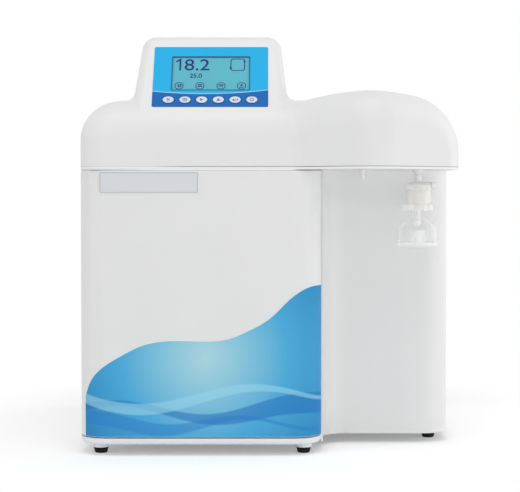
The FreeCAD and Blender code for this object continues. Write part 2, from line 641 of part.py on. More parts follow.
# Bay panel: one moulded wall that forms the dispensing bay and wraps round to the right side
def bay_panel():
    wall, back = "panel_wall", "bay_back"
    start = "front + door_depth + door_rear_gap"
    blend_x, blend_y = f"door_right + {wall} + bay_blend_radius", f"{back} - bay_blend_radius"
    turn_x, turn_y = "side_right - bay_corner_radius", f"{back} + bay_corner_radius"
    outline = [
        ("door_right", start), (f"door_right + {wall}", start), (f"door_right + {wall}", blend_y),
        (blend_x, back, blend_x, blend_y), (turn_x, back), ("side_right", turn_y, turn_x, turn_y),
        ("side_right", "rear"), (f"side_right - {wall}", "rear"), (f"side_right - {wall}", turn_y),
        (turn_x, f"{back} + {wall}", turn_x, turn_y), (blend_x, f"{back} + {wall}"),
        ("door_right", blend_y, blend_x, blend_y),
    ]
    node("bay_panel", put(plate([outline], "frame_low - skirt_clearance"), "0", "0", "skirt_clearance"))


def left_side_panel():
    start = "front + door_depth + door_rear_gap"
    node("left_side_panel", box("side_left", start, "tray_top", "panel_wall", f"rear - ({start})",
                                "frame_low - tray_top"))


def partition():
    inner_left = "side_left + panel_wall"
    outline = [
        (inner_left, "front + partition_back"), ("door_right - partition_wall", "front + partition_back"),
        ("door_right - partition_wall", "front + return_front"), ("door_right", "front + return_front"),
        ("door_right", "front + partition_back + partition_wall"),
        (inner_left, "front + partition_back + partition_wall"),
    ]
    node("partition", put(plate([outline], "frame_low - tray_top"), "0", "0", "tray_top"))


# Head outline, shared by the top frame and the top cover
def nose_points(inset):
    """Points and arc centres of the nose in plan, inset from the outside."""
    centre_x = value("side_right - nose_offset")
    front, angle = value("front"), math.radians(value("nose_angle"))
    start = math.radians(value("nose_start_angle"))
    tip_y = front - value("nose_reach") + value("nose_tip_radius")
    tip_radius = value("nose_tip_radius") - inset
    tips = [Vector(centre_x + side * tip_radius * math.sin(angle), tip_y - tip_radius * math.cos(angle), 0)
            for side in (-1, 1)]
    blend, full_blend = value("nose_blend_radius"), value("nose_blend_radius") + inset
    flank_y = front - blend * (math.cos(start) - math.cos(angle))
    outer_tip = Vector(centre_x - value("nose_tip_radius") * math.sin(angle),
                       tip_y - value("nose_tip_radius") * math.cos(angle), 0)
    flank_x = outer_tip.x - (flank_y - outer_tip.y) / math.tan(angle)
    centre = Vector(flank_x - blend * math.sin(angle), flank_y - blend * math.cos(angle), 0)

    def on_blend(turn):
        return centre + Vector(full_blend * math.sin(turn), full_blend * math.cos(turn), 0)

    crease = on_blend(start)
    run = value("nose_blend_radius")
    buried = crease + Vector(-run * math.cos(start), run * math.sin(start), 0)
    reach = value("cover_right + nose_corner_radius") - tips[1].x
    far = tips[1] + Vector(reach, reach * math.tan(angle), 0)
    tip_middle = Vector(centre_x, tip_y - tip_radius, 0)
    return buried, crease, on_blend((start + angle) / 2), on_blend(angle), tips[0], tip_middle, tips[1], far


def nose_prism(inset, low, high, rear):
    """The space behind the nose's front, from low to high, back to the rear."""
    buried, crease, blend_middle, flank, left_tip, tip, right_tip, far = nose_points(inset)
    right_rear, left_rear = Vector(far.x, rear, 0), Vector(buried.x, rear, 0)
    plan = Part.Wire([
        Part.makeLine(buried, crease), Part.Arc(crease, blend_middle, flank).toShape(),
        Part.makeLine(flank, left_tip), Part.Arc(left_tip, tip, right_tip).toShape(),
        Part.makeLine(right_tip, far), Part.makeLine(far, right_rear),
        Part.makeLine(right_rear, left_rear), Part.makeLine(left_rear, buried),
    ])
    prism = Part.Face(plan).extrude(Vector(0, 0, high - low))
    prism.translate(Vector(0, 0, low))
    return prism


def round_box_wire(x0, x1, y0, y1, z, front_radius, rear_radius):
    """A level rectangle with round corners of one radius in front and one at the rear."""
    corners = [(x1 - rear_radius, y1 - rear_radius, rear_radius),
               (x0 + rear_radius, y1 - rear_radius, rear_radius),
               (x0 + front_radius, y0 + front_radius, front_radius),
               (x1 - front_radius, y0 + front_radius, front_radius)]
    arcs = []
    for quarter, (x, y, radius) in enumerate(corners):
        turns = [(2 * quarter + step) * math.pi / 4 for step in range(3)]
        arcs.append([Vector(x + radius * math.cos(t), y + radius * math.sin(t), z) for t in turns])
    edges = []
    for index, arc in enumerate(arcs):
        edges.append(Part.Arc(*arc).toShape())
        edges.append(Part.makeLine(arc[2], arcs[(index + 1) % len(arcs)][0]))
    return Part.Wire(edges)


def top_frame_shape(inset, low, high):
    """A flat slab on the head outline: the door side's rectangle and the nose with its round corner."""
    left, right, front, rear = (value(name) for name in ("side_left", "cover_right", "front", "rear"))
    corner, soft = value("corner_radius") - inset, value("rear_radius") - inset
    middle = value("side_right - nose_offset")
    block = Part.Face(round_box_wire(left + inset, middle, front + inset, rear - inset, low, corner, soft))
    block = block.extrude(Vector(0, 0, high - low))
    side = Part.makeBox(right - inset - left - inset, 2 * value("body_depth"), high - low,
                        Vector(left + inset, front - value("body_depth"), low))
    prism = nose_prism(inset, low, high, rear - inset).common(side)
    edges = [edge for edge in prism.Edges
             if near(edge.BoundBox.XMin, right - inset) and not near(edge.BoundBox.ZLength, 0)
             and near(edge.BoundBox.YLength, 0) and edge.BoundBox.YMin < rear - inset - value("pick_margin")]
    prism = prism.makeFillet(value("nose_corner_radius") - inset, edges)
    return block.fuse(prism).removeSplitter()


def top_frame():
    low, high = value("frame_low"), value("frame_top")
    groove = value("seam_groove")
    slab = top_frame_shape(0, low, high - groove).fuse(top_frame_shape(2 * groove, high - groove, high))
    start_y = value("front + partition_back + frame_front_border")
    window = Part.makeBox(value("body_width - 2 * frame_side_border"),
                          value("uv_y + pipe_radius + frame_pipe_room") - start_y, 2 * value("frame_thickness"),
                          Vector(value("side_left + frame_side_border"), start_y,
                                 low - value("frame_thickness") / 2))
    pin = Part.makeCylinder(value("pin_radius"), 2 * (high - low),
                            Vector(value("pivot_x"), value("pivot_y"), low - (high - low) / 2))
    bore = Part.makeCylinder(value("water_bore"), 2 * (high - low),
                             Vector(value("capsule_x"), value("capsule_y"), low - (high - low) / 2))
    feature("top_frame", slab.removeSplitter().cut(window).cut(pin).cut(bore))


# Top cover: a moulded shell, the sum of a door-side block with round shoulders, a domed nose over
# the bay and the tilted display head
def cover_block(inset, low):
    left, front, rear = value("side_left") + inset, value("front") + inset, value("rear") - inset
    right = value("side_right - nose_offset")
    start, shoulder = value("shoulder_z"), value("shoulder_radius") - inset
    corner, soft = value("corner_radius") - inset, value("rear_radius") - inset
    softening = value("corner_softening")
    wires = []
    for step in range(7):
        turn = step * math.pi / 12
        drop = shoulder * (1 - math.cos(turn))
        wires.append(round_box_wire(
            left + drop, right, front + drop, rear, start + shoulder * math.sin(turn),
            corner - softening * drop, soft))
    shoulder_form = Part.makeLoft(wires, True, False)
    skirt = Part.Face(round_box_wire(left, right, front, rear, low, corner, soft))
    return skirt.extrude(Vector(0, 0, start - low)).fuse(shoulder_form).removeSplitter()


def cover_dome(inset, low):
    """The nose: a front profile with crest and shoulder arcs, cut to the nose plan, edges rounded."""
    rear = value("rear") - inset
    crest_x, crest_radius = value("side_right - nose_offset"), value("crest_radius") - inset
    centre_z = value("deck + crest_rise - crest_radius")
    shoulder = value("side_shoulder_radius") - inset
    side = value("cover_right") - inset
    shoulder_x = value("cover_right - side_shoulder_radius")
    spread = value("crest_radius - side_shoulder_radius")
    shoulder_z = centre_z + math.sqrt(spread ** 2 - (shoulder_x - crest_x) ** 2)
    turn = math.atan2(shoulder_z - centre_z, shoulder_x - crest_x)
    left = nose_points(inset)[0].x
    first = math.atan2(math.sqrt(crest_radius ** 2 - (left - crest_x) ** 2), left - crest_x)
    start_y = value("front - 2 * nose_reach")

    def on(x, z, radius, angle):
        return Vector(x + radius * math.cos(angle), start_y, z + radius * math.sin(angle))

    crest_start = on(crest_x, centre_z, crest_radius, first)
    joint = on(crest_x, centre_z, crest_radius, turn)
    side_top = Vector(side, start_y, shoulder_z)
    corners = [Vector(side, start_y, low), Vector(left, start_y, low)]
    profile = Part.Wire([
        Part.Arc(crest_start, on(crest_x, centre_z, crest_radius, (first + turn) / 2), joint).toShape(),
        Part.Arc(joint, on(shoulder_x, shoulder_z, shoulder, turn / 2), side_top).toShape(),
        Part.makeLine(side_top, corners[0]), Part.makeLine(corners[0], corners[1]),
        Part.makeLine(corners[1], crest_start),
    ])
    bar = Part.Face(profile).extrude(Vector(0, rear - start_y, 0))
    dome = bar.common(nose_prism(inset, low, value("deck") + crest_radius, rear))

    def on_profile(point):
        from_crest = math.hypot(point.x - crest_x, point.z - centre_z) - crest_radius
        from_shoulder = math.hypot(point.x - shoulder_x, point.z - shoulder_z) - shoulder
        on_side = abs(point.x - side) if point.z < shoulder_z else side
        return min(abs(from_crest), abs(from_shoulder), on_side) < value("pick_tolerance")

    margin = value("pick_margin")
    edges = [edge for edge in dome.Edges
             if edge.BoundBox.YMax < value("bay_back") and edge.BoundBox.XMax > left + margin
             and edge.BoundBox.ZMax > low + margin and all(on_profile(point) for point in edge.discretize(5))]
    return dome.makeFillet(value("nose_corner_radius") - inset, edges)


def cover_pod(inset):
    """The display head: a side profile with a tilted face, cut by a tapered front profile."""
    tilt, draft = math.radians(value("face_tilt")), math.tan(math.radians(value("pod_draft")))
    shoulder = value("shoulder_radius")
    y0 = value("face_y") + inset * math.cos(tilt)
    z0 = value("face_z") - inset * math.sin(tilt)
    top = value("deck + pod_rise") - inset
    y1 = y0 + (top - z0) * math.tan(tilt)
    y2 = y1 + value("pod_top_depth")
    foot = value("deck") - shoulder
    x, half = value("pod_x"), value("pod_top_width") / 2 - inset
    reach = half + value("pod_rise")
    drop = value("deck + pod_rise") - foot
    side = Part.makePolygon([Vector(x - reach, *point) for point in (
        (y0, z0), (y1, top), (y2 - inset, top), (y2 + value("pod_back_run") - inset, foot),
        (y0 + shoulder, foot), (y0, z0))])
    slab = Part.Face(side).extrude(Vector(2 * reach, 0, 0))
    start = value("front")
    taper = Part.makePolygon([Vector(x + sign * (half + fall * draft), start, top - fall)
                              for sign, fall in ((-1, drop), (-1, 0), (1, 0), (1, drop), (-1, drop))])
    wedge = Part.Face(taper).extrude(Vector(0, value("body_depth"), 0))
    margin = value("pick_margin")
    crowns = [edge for edge in wedge.Edges
              if edge.BoundBox.ZMin > top - margin and edge.BoundBox.YLength > margin]
    pod = slab.common(wedge.makeFillet(value("pod_corner_radius") - inset, crowns))

    def on_face(point):
        return abs((point.y - y0) - (point.z - z0) * math.tan(tilt)) < value("pick_tolerance")

    rim = [edge for edge in pod.Edges if edge.BoundBox.ZMax > z0 + margin
           and all(on_face(point) for point in edge.discretize(5))]
    return pod.makeFillet(value("pod_edge_radius") - inset, rim)


def rear_trim(inset, low):
    """A bar across the machine whose upper rear edge is round; what lies outside it is cut away."""
    left, front, rear = value("side_left"), value("front - 2 * nose_reach"), value("rear") - inset
    right, top = value("cover_right"), value("deck + crest_rise") - inset
    radius = value("rear_edge_radius") - inset
    head = value("deck + 2 * pod_rise")
    turn = math.radians(45)
    middle = Vector(left, rear - radius + radius * math.cos(turn), top - radius + radius * math.sin(turn))
    shoulder, crown = Vector(left, rear, top - radius), Vector(left, rear - radius, top)
    points = [crown, Vector(left, rear - radius, head), Vector(left, front, head), Vector(left, front, low),
              Vector(left, rear, low), shoulder]
    profile = Part.Wire([Part.Arc(shoulder, middle, crown).toShape()]
                        + [Part.makeLine(*pair) for pair in zip(points, points[1:])])
    return Part.Face(profile).extrude(Vector(right - left, 0, 0))


def shared_edges(form, first, second):
    """The edges of a fused form that lie on both of the shapes it was fused from."""
    tolerance = value("pick_tolerance")

    def touches(edge, shape):
        return all(shape.distToShape(Part.Vertex(point))[0] < tolerance for point in edge.discretize(5))

    return [edge for edge in form.Edges if touches(edge, second) and touches(edge, first)]


def cover_form(inset, low):
    casing = cover_block(inset, low).fuse(cover_dome(inset, low)).common(rear_trim(inset, low))
    pod = cover_pod(inset)
    form = casing.fuse(pod).removeSplitter()
    return form.makeFillet(value("pod_foot_radius") + inset, shared_edges(form, casing, pod))


def face_prism(outline, x, along, out, thickness):
    """A tool on the display face: an outline plate placed like the pieces that it makes room for."""
    tool = put_on_face(plate([outline], thickness), x, along, out)
    doc.recompute()
    shape = tool.Shape.copy()
    return shape


def key_places():
    return [f"({index} - (key_count - 1) / 2) * key_pitch" for index in range(int(value("key_count")))]


def label_outline(gap):
    half = f"label_width / 2 + {gap}"
    return rounded(f"-({half})", f"-{gap}", half, f"label_height + {gap}", "label_corner")


def window_outline(inset):
    half = f"window_width / 2 - ({inset})"
    return rectangle(f"-({half})", f"window_low + {inset}", half, f"window_low + window_height - ({inset})")


def key_outline(x, gap):
    return oval(x, "key_row", f"key_width + 2 * {gap}", f"key_height + 2 * {gap}")


def top_cover():
    low = value("frame_top")
    form = cover_form(0, low).cut(cover_form(value("cover_wall"), low - value("overrun")))
    recess = face_prism(label_outline("0"), "0", "label_low", "-label_recess", "label_recess + overrun")
    seat = face_prism(window_outline("0"), "0", "label_low", "-label_recess - window_thickness",
                      "window_thickness + label_recess")
    view = face_prism(window_outline("window_ledge"), "0", "label_low", "-cover_wall - overrun",
                      "2 * cover_wall")
    form = form.cut([recess, seat, view])
    for x in key_places():
        form = form.cut(face_prism(key_outline(x, "key_gap"), "0", "label_low", "-cover_wall - overrun",
                                   "2 * cover_wall"))
    feature("top_cover", form)


# Display: a printed keypad foil, a clear window, the display module and its board, six keys
def keypad_foil():
    holes = [key_outline(x, "key_gap") for x in key_places()]
    foil = plate([label_outline("0"), window_outline("0")] + holes, "label_thickness")
    node("keypad_foil", put_on_face(foil, "0", "label_low", "-label_recess"))


def display_window():
    pane = plate([window_outline("0.1 * loose_gap")], "window_thickness")
    node("display_window", put_on_face(pane, "0", "label_low", "-label_recess - window_thickness"))


def display_module():
    module = plate([window_outline("-2 * window_ledge")], "lcd_depth")
    node("display_module", put_on_face(module, "0", "label_low", "-cover_wall - lcd_depth"))


def display_board():
    half = "(label_width / 2 - board_margin)"
    outline = rectangle(f"-{half}", "board_margin", half, "label_height - board_margin")
    board = put_on_face(plate([outline], "board_thickness"), "0", "label_low",
                        "-cover_wall - board_drop - board_thickness")
    parts = [board]
    for x in (f"-{half} + post_radius", f"{half} - post_radius"):
        for along in ("label_low + board_margin + post_radius",
                      "label_low + label_height - board_margin - post_radius"):
            parts.append(put_on_face(plate([("circle", "0", "0", "post_radius")], "board_drop"), x, along,
                                     "-cover_wall - board_drop"))
    for x in key_places():
        switch = rectangle("-switch_size / 2", "-switch_size / 2", "switch_size / 2", "switch_size / 2")
        parts.append(put_on_face(plate([switch], "switch_height"), x,
                                 "label_low + key_row", "-cover_wall - board_drop"))
    node("display_board", fuse(*parts))


def keys():
    """Oval key caps: each passes through foil and cover, with a flange behind that holds it in."""
    cap_height = "cover_wall + loose_gap + key_proud"
    for index, x in enumerate(key_places(), start=1):
        cap = plate([oval("0", "0", "key_width", "key_height")], f"{cap_height} + key_flange")
        soften(cap, "key_proud / 2", lambda b: b.ZMin > value(cap_height))
        flange_size = ("key_width + 2 * key_flange_reach", "key_height + 2 * key_flange_reach")
        flange = plate([oval("0", "0", *flange_size)], "key_flange")
        stem = plate([("circle", "0", "0", "key_stem_radius")], "key_stem_length")
        low = "-cover_wall - loose_gap - key_flange"
        put_on_face(cap, x, "label_low + key_row", low)
        put_on_face(flange, x, "label_low + key_row", low)
        put_on_face(stem, x, "label_low + key_row", f"{low} - key_stem_length")
        node(f"key_{index}", fuse(cap, flange, stem))


# Dispensing capsule: a small filter hung below the nose, with a vent, a bell and a dust cap
def outlet_fitting():
    profile = [
        ("water_bore", "0"), ("fitting_radius", "0"), ("fitting_radius", "fitting_edge"),
        ("fitting_low_radius", "fitting_height"), ("spigot_radius", "fitting_height"),
        ("spigot_radius", "fitting_height + spigot_length"), ("water_bore", "fitting_height + spigot_length"),
    ]
    profile = [(radius, height.replace("fitting_edge", "fitting_height / 5")) for radius, height in profile]
    node("outlet_fitting", put(turned(profile), "capsule_x", "capsule_y", "frame_low", "down"))


def capsule_cap():
    bore = "spigot_radius + running_gap"
    top = "cap_skirt + cap_slope + neck_height"
    profile = [
        ("membrane_core", "0"), ("cap_radius", "0"), ("cap_radius", "cap_skirt"),
        ("cap_radius - cap_slope / 2", "cap_skirt + cap_slope / 2"),
        ("neck_radius + cap_slope / 2", "cap_skirt + cap_slope - cap_slope / 8"),
        ("neck_radius", "cap_skirt + cap_slope"), ("neck_radius", top), (bore, top),
        (bore, "cap_skirt"), ("membrane_core", "cap_skirt / 2"),
    ]
    cap = put(turned(profile), "capsule_x", "capsule_y", "cap_low")
    vent_z = "cap_low + cap_skirt + vent_radius / 4"
    boss = rod("capsule_x + vent_boss_start", "capsule_y", vent_z, "vent_boss_radius",
               "vent_cap_start - vent_boss_start - loose_gap", "right")
    vent = rod("capsule_x + vent_boss_start", "capsule_y", vent_z, "vent_radius",
               "vent_reach - vent_boss_start", "right")
    node("capsule_cap", fuse(cap, boss, vent))


def vent_cap():
    bore = "vent_radius + running_gap"
    length = "vent_cap_end - vent_cap_start"
    profile = [
        ("0", length), ("0", "vent_reach - vent_cap_start + loose_gap"),
        (bore, "vent_reach - vent_cap_start + loose_gap"), (bore, "0"),
        ("vent_cap_radius * 0.8", "0"), ("vent_cap_radius", f"({length}) / 4"), ("vent_cap_radius", length),
    ]
    profile = [(radius.replace("* 0.8", "- loose_gap"), height) for radius, height in profile]
    node("vent_cap", put(turned(profile), "capsule_x + vent_cap_start", "capsule_y",
                         "cap_low + cap_skirt + vent_radius / 4", "right"))


def filter_membrane():
    """Pleated membrane: a ring whose outside folds in and out round the core."""
    count = int(value("pleat_count"))
    points = []
    for step in range(2 * count):
        radius = value("membrane_outer") if step % 2 else value("membrane_inner")
        turn = math.pi * step / count
        points.append(Vector(radius * math.cos(turn), radius * math.sin(turn), 0))
    star = Part.Face(Part.makePolygon(points + points[:1]))
    height = value("body_height")
    ring = star.extrude(Vector(0, 0, height))
    ring = ring.cut(Part.makeCylinder(value("membrane_core"), height))
    ring.translate(Vector(value("capsule_x"), value("capsule_y"), value("body_low")))
    feature("filter_membrane", ring)


def capsule_body():
    profile = rectangle("body_radius - body_wall", "0", "body_radius", "body_height")
    node("capsule_body", put(turned(profile), "capsule_x", "capsule_y", "body_low"))


def capsule_bell():
    neck_low = "-flange_height - bell_neck_height"
    slope_low = f"{neck_low} - bell_slope"
    rim = f"{slope_low} - bell_skirt"
    inner = "bell_radius - bell_wall"
    profile = [
        ("nozzle_radius", "0"), ("flange_radius", "0"), ("flange_radius", "-flange_height"),
        ("bell_neck_radius", "-flange_height"), ("bell_neck_radius", neck_low),
        ("(bell_neck_radius + bell_radius) / 2", f"{neck_low} - bell_slope / 3"),
        ("bell_radius", slope_low), ("bell_radius", rim), (inner, rim), (inner, slope_low),
        ("(bell_neck_radius + bell_radius) / 2 - bell_wall", f"{neck_low} - bell_slope / 3 - bell_wall / 2"),
        ("nozzle_radius", f"{neck_low} - bell_wall"),
    ]
    node("capsule_bell", put(turned(profile), "capsule_x", "capsule_y", "body_low"))


def outlet_nozzle():
    profile = [
        ("water_bore", "0"), ("nozzle_radius", "0"),
        ("nozzle_radius", "-flange_height - bell_neck_height - bell_wall"),
        ("nozzle_tip_radius", "-nozzle_length"), ("water_bore", "-nozzle_length"),
    ]
    node("outlet_nozzle", put(turned(profile), "capsule_x", "capsule_y", "body_low"))


def bell_dust_cap():
    play = "dust_cap_play"
    profile = [
        ("0", "-dust_cap_height"), ("dust_cap_radius - foot_edge", "-dust_cap_height"),
        ("dust_cap_radius", "-dust_cap_height + foot_edge"), ("dust_cap_radius", "0"),
        ("dust_boss_radius", "0"), ("dust_boss_radius", "dust_boss_height"),
        ("dust_boss_bore", "dust_boss_height"), ("dust_boss_bore", "0"), ("0", "0"),
    ]
    node("bell_dust_cap", put(turned(profile), "capsule_x", "capsule_y", f"bell_low - {play}"))


def stub_outlet():
    profile = [
        ("stub_bore", "0"), ("stub_flange_radius", "0"), ("stub_flange_radius", "stub_flange_height"),
        ("stub_radius", "stub_flange_height"), ("stub_radius", "stub_length"), ("stub_bore", "stub_length"),
    ]
    node("stub_outlet", put(turned(profile), "stub_x", "capsule_y", "frame_low", "down"))


# Cartridge bay: three purification packs that lock with a part turn into sockets overhead
def cartridge_places():
    return [f"cartridge_x + ({index}) * cartridge_pitch" for index in (-1, 0, 1)]


def cartridges():
    radius, dome = "cartridge_radius", "cartridge_dome"
    top = "cartridge_height"
    profile = [
        ("0", "cartridge_dimple"), (f"{radius} - {dome}", "0"), (radius, dome, f"{radius} - {dome}", dome),
        (radius, "band_inset"), (f"{radius} - band_sink", "band_inset"),
        (f"{radius} - band_sink", "band_inset + band_height"), (radius, "band_inset + band_height"),
        (radius, f"{top} - band_inset - band_height"),
        (f"{radius} - band_sink", f"{top} - band_inset - band_height"),
        (f"{radius} - band_sink", f"{top} - band_inset"), (radius, f"{top} - band_inset"),
        (radius, f"{top} - {dome}"), (f"{radius} - {dome}", top, f"{radius} - {dome}", f"{top} - {dome}"),
        ("cartridge_neck_radius", top), ("cartridge_neck_radius", f"{top} + neck_length"),
        ("0", f"{top} + neck_length"),
    ]
    for index, x in enumerate(cartridge_places(), start=1):
        shell = put(turned(profile), x, "cartridge_y", "cartridge_low")
        lugs = [box(f"{x} - lug_reach", "cartridge_y - lug_width / 2", "cartridge_top + lug_low",
                    "2 * lug_reach", "lug_width", "lug_height")]
        node(f"cartridge_{index}", fuse(shell, *lugs))


def cartridge_manifold():
    left, right = "cartridge_x - cartridge_pitch - manifold_end", "cartridge_x + cartridge_pitch + manifold_end"
    front_y = "front + partition_back - manifold_depth"
    bar = plate([rounded(left, front_y, right, "front + partition_back", "manifold_edge")],
                "manifold_height")
    put(bar, "0", "0", "socket_low_z")
    rooms = []
    for x in cartridge_places():
        rooms.append(rod(x, "cartridge_y", "socket_low_z - overrun", "socket_radius", "socket_depth + overrun"))
        rooms.append(rod(x, "cartridge_y", "socket_low_z + groove_low", "groove_radius", "groove_height"))
        slot = box("-groove_radius", "-lug_width / 2 - 2 * loose_gap", "0", "2 * groove_radius",
                   "lug_width + 4 * loose_gap", "groove_low + overrun")
        turn = Rotation(Vector(0, 0, 1), value("unlock_turn"))
        carrier = doc.addObject("Part::Compound", "Slot")
        carrier.Links = [slot]
        carrier.Placement = Placement(Vector(), turn)
        bind(carrier, Placement__Base__x=x, Placement__Base__y="cartridge_y",
             Placement__Base__z="socket_low_z - overrun", Placement__Rotation__Angle="unlock_turn")
        rooms.append(carrier)
    node("cartridge_manifold", cut(bar, *rooms))


# Rear compartment: pumps, membrane module, lamp reactor, valves, electronics and pipes
def ro_module():
    profile = [
        ("0", "0"), ("ro_cap_radius", "0"), ("ro_cap_radius", "ro_cap_height"), ("ro_radius", "ro_cap_height"),
        ("ro_radius", "ro_height - ro_cap_height"), ("ro_cap_radius", "ro_height - ro_cap_height"),
        ("ro_cap_radius", "ro_height"), ("0", "ro_height"),
    ]
    node("membrane_module", put(turned(profile), "ro_x", "ro_y", "tray_top"))


def booster_pump():
    base = box("pump_x", "pump_y", "tray_top", "pump_width", "pump_depth", "pump_height")
    motor = rod("pump_x + pump_width / 2", "pump_y + pump_depth / 2", "tray_top + pump_height", "motor_radius",
                "motor_height")
    node("booster_pump", fuse(base, motor))


def loop_pump():
    """Recirculation pump: an open-topped casing, a lid and a bladed rotor on its shaft."""
    inner = "loop_pump_radius - loop_pump_wall"
    seat = "shaft_radius + running_gap"
    casing = [
        ("0", "0"), ("loop_pump_radius", "0"), ("loop_pump_radius", "loop_pump_height"),
        (inner, "loop_pump_height"), (inner, "loop_pump_wall + shaft_seat"),
        (seat, "loop_pump_wall + shaft_seat"), (seat, "loop_pump_wall"), ("0", "loop_pump_wall"),
    ]
    node("loop_pump_casing", put(turned(casing), "loop_x", "loop_y", "tray_top"))
    lid = [
        ("loop_pump_radius", "0"), ("loop_pump_radius", "pump_lid_height"), ("0", "pump_lid_height"),
        ("0", "shaft_seat"), (seat, "shaft_seat"), (seat, "0"),
    ]
    node("loop_pump_lid", put(turned(lid), "loop_x", "loop_y", "tray_top + loop_pump_height"))
    floor = "loop_pump_wall + loose_gap"
    shaft = [
        ("0", floor), ("shaft_radius", floor), ("shaft_radius", "loop_pump_height + shaft_seat - loose_gap"),
        ("0", "loop_pump_height + shaft_seat - loose_gap"),
    ]
    hub_low = "loop_pump_wall + shaft_seat + rotor_gap"
    hub = rod("loop_x", "loop_y", f"tray_top + {hub_low}", "rotor_hub_radius", "rotor_height")
    reach = f"{inner} - rotor_gap"
    blades = [box(f"loop_x - ({reach})", "loop_y - blade_wall / 2", f"tray_top + {hub_low}", f"2 * ({reach})",
                  "blade_wall", "rotor_height"),
              box("loop_x - blade_wall / 2", f"loop_y - ({reach})", f"tray_top + {hub_low}", "blade_wall",
                  f"2 * ({reach})", "rotor_height")]
    node("loop_pump_rotor", fuse(put(turned(shaft), "loop_x", "loop_y", "tray_top"), hub, *blades))


def lamp_reactor():
    profile = [
        ("0", "0"), ("uv_end_radius", "0"), ("uv_end_radius", "uv_end_height"), ("uv_radius", "uv_end_height"),
        ("uv_radius", "uv_height - uv_end_height"), ("uv_end_radius", "uv_height - uv_end_height"),
        ("uv_end_radius", "uv_height"), ("0", "uv_height"),
    ]
    node("lamp_reactor", put(turned(profile), "uv_x", "uv_y", "tray_top"))


def power_supply():
    case = box("supply_x", "supply_y", "tray_top", "supply_width", "supply_depth", "supply_height")
    count = int(value("(supply_depth - 4 * vent_pitch) / vent_pitch"))
    slots = [box("supply_x + 2 * vent_pitch", f"supply_y + (2 + {step}) * vent_pitch",
                 "tray_top + supply_height - supply_slot_depth",
                 "supply_width - 4 * vent_pitch", "vent_slot", "supply_slot_depth + overrun")
             for step in range(count)]
    node("power_supply", cut(case, *slots))


def control_board():
    inner = "side_left + panel_wall"
    x, y, z = f"{inner} + board_standoff", "rear_space + board_front_room", "tray_top + board_lift"
    parts = [box(x, y, z, "board_thickness", "board_length", "board_height")]
    for across in ("board_margin", "board_length - board_margin"):
        for up in ("board_margin", "board_height - board_margin"):
            parts.append(rod(inner, f"{y} + {across}", f"{z} + {up}", "post_radius", "board_standoff", "right"))
    for share in range(1, 4):
        parts.append(box(f"{x} + board_thickness", f"{y} + {share} * board_length / 4 - chip_size / 2",
                         f"{z} + board_height / 2 - chip_size / 2", "chip_height", "chip_size", "chip_size"))
    node("control_board", fuse(*parts))


def port_places():
    names = ("feed_inlet", "tank_port", "drain_port")
    return {name: f"valve_x + valve_width / 2 + ({index} - 1) * port_pitch" for index, name in enumerate(names)}


def valve_block():
    y = "rear - metal_gauge - valve_depth"
    block = box("valve_x", y, "valve_z", "valve_width", "valve_depth", "valve_height")
    coils = [rod(x, f"{y} + valve_depth / 2", "valve_z + valve_height", "coil_radius", "coil_height")
             for x in port_places().values()]
    rooms = [rod(x, "rear - metal_gauge - port_shank", "port_z", "port_shank_radius", "port_shank + overrun",
                 "back")
             for x in port_places().values()]
    node("valve_block", cut(fuse(block, *coils), *rooms))


def ports():
    """Push-in tube fittings: a shank in the valve block, a hexagon nut, a release collet and an open bore."""
    for name, x in port_places().items():
        start = "-port_shank - metal_gauge"
        profile = [
            ("0", start), ("port_shank_radius", start), ("port_shank_radius", "0"), ("port_radius", "0"),
            ("port_radius", "port_reach - collet_reach"), ("collet_radius", "port_reach - collet_reach"),
            ("collet_radius", "port_reach"), ("0", "port_reach"),
        ]
        nut = doc.addObject("Part::Prism", "Nut")
        bind(nut, Circumradius="port_nut_radius", Height="port_nut_height")
        put(nut, x, "rear", "port_z", "back")
        bore = rod(x, "rear + port_reach - port_bore_depth", "port_z", "port_bore",
                   "port_bore_depth + overrun", "back")
        node(name, cut(fuse(put(turned(profile), x, "rear", "port_z", "back"), nut), bore))


def resistivity_cell():
    profile = [
        ("0", "0"), ("cell_radius", "0"), ("cell_radius", "cell_height * 3 / 4"),
        ("pipe_radius + panel_wall", "cell_height * 3 / 4"), ("pipe_radius + panel_wall", "cell_height"),
        ("0", "cell_height"),
    ]
    node("resistivity_cell", put(turned(profile), "capsule_x", "front + cell_back", "frame_top"))


def outlet_pipe():
    """Steel pipe from the lamp reactor's top, forward under the cover, down into the cell."""
    start = Vector(value("uv_x"), value("uv_y"), value("tray_top + uv_height"))
    end = Vector(value("capsule_x"), value("front + cell_back"), value("frame_top + cell_height"))
    radius = value("pipe_radius")
    rise = end.z + value("pipe_rise") / 2
    bend = 5 * radius
    points = [start, Vector(start.x, start.y, rise), Vector(end.x, end.y, rise), end]
    edges, cursor = [], points[0]
    for before, corner, after in zip(points, points[1:], points[2:]):
        into, out = (corner - before).normalize(), (after - corner).normalize()
        turn = math.acos(max(-1, min(1, into.dot(out))))
        trim = min(bend * math.tan(turn / 2), abs(end.z - rise) * 0.9)
        reach = trim / math.tan(turn / 2)
        first, last = corner - into * trim, corner + out * trim
        centre = first + (out - into * into.dot(out)).normalize() * reach
        middle = centre + (corner - centre).normalize() * reach
        edges.append(Part.makeLine(cursor, first))
        edges.append(Part.Arc(first, middle, last).toShape())
        cursor = last
    edges.append(Part.makeLine(cursor, end))
    path = Part.Wire(edges)
    section = Part.Wire(Part.Circle(start, Vector(0, 0, 1), radius).toShape())
    feature("outlet_pipe", path.makePipeShell([section], True, True))


# Rear panel: sheet steel with ventilation slots, port holes and the mains entry
def entry_window():
    return ("entry_x - entry_width / 2", "entry_z", "entry_width", "entry_height")


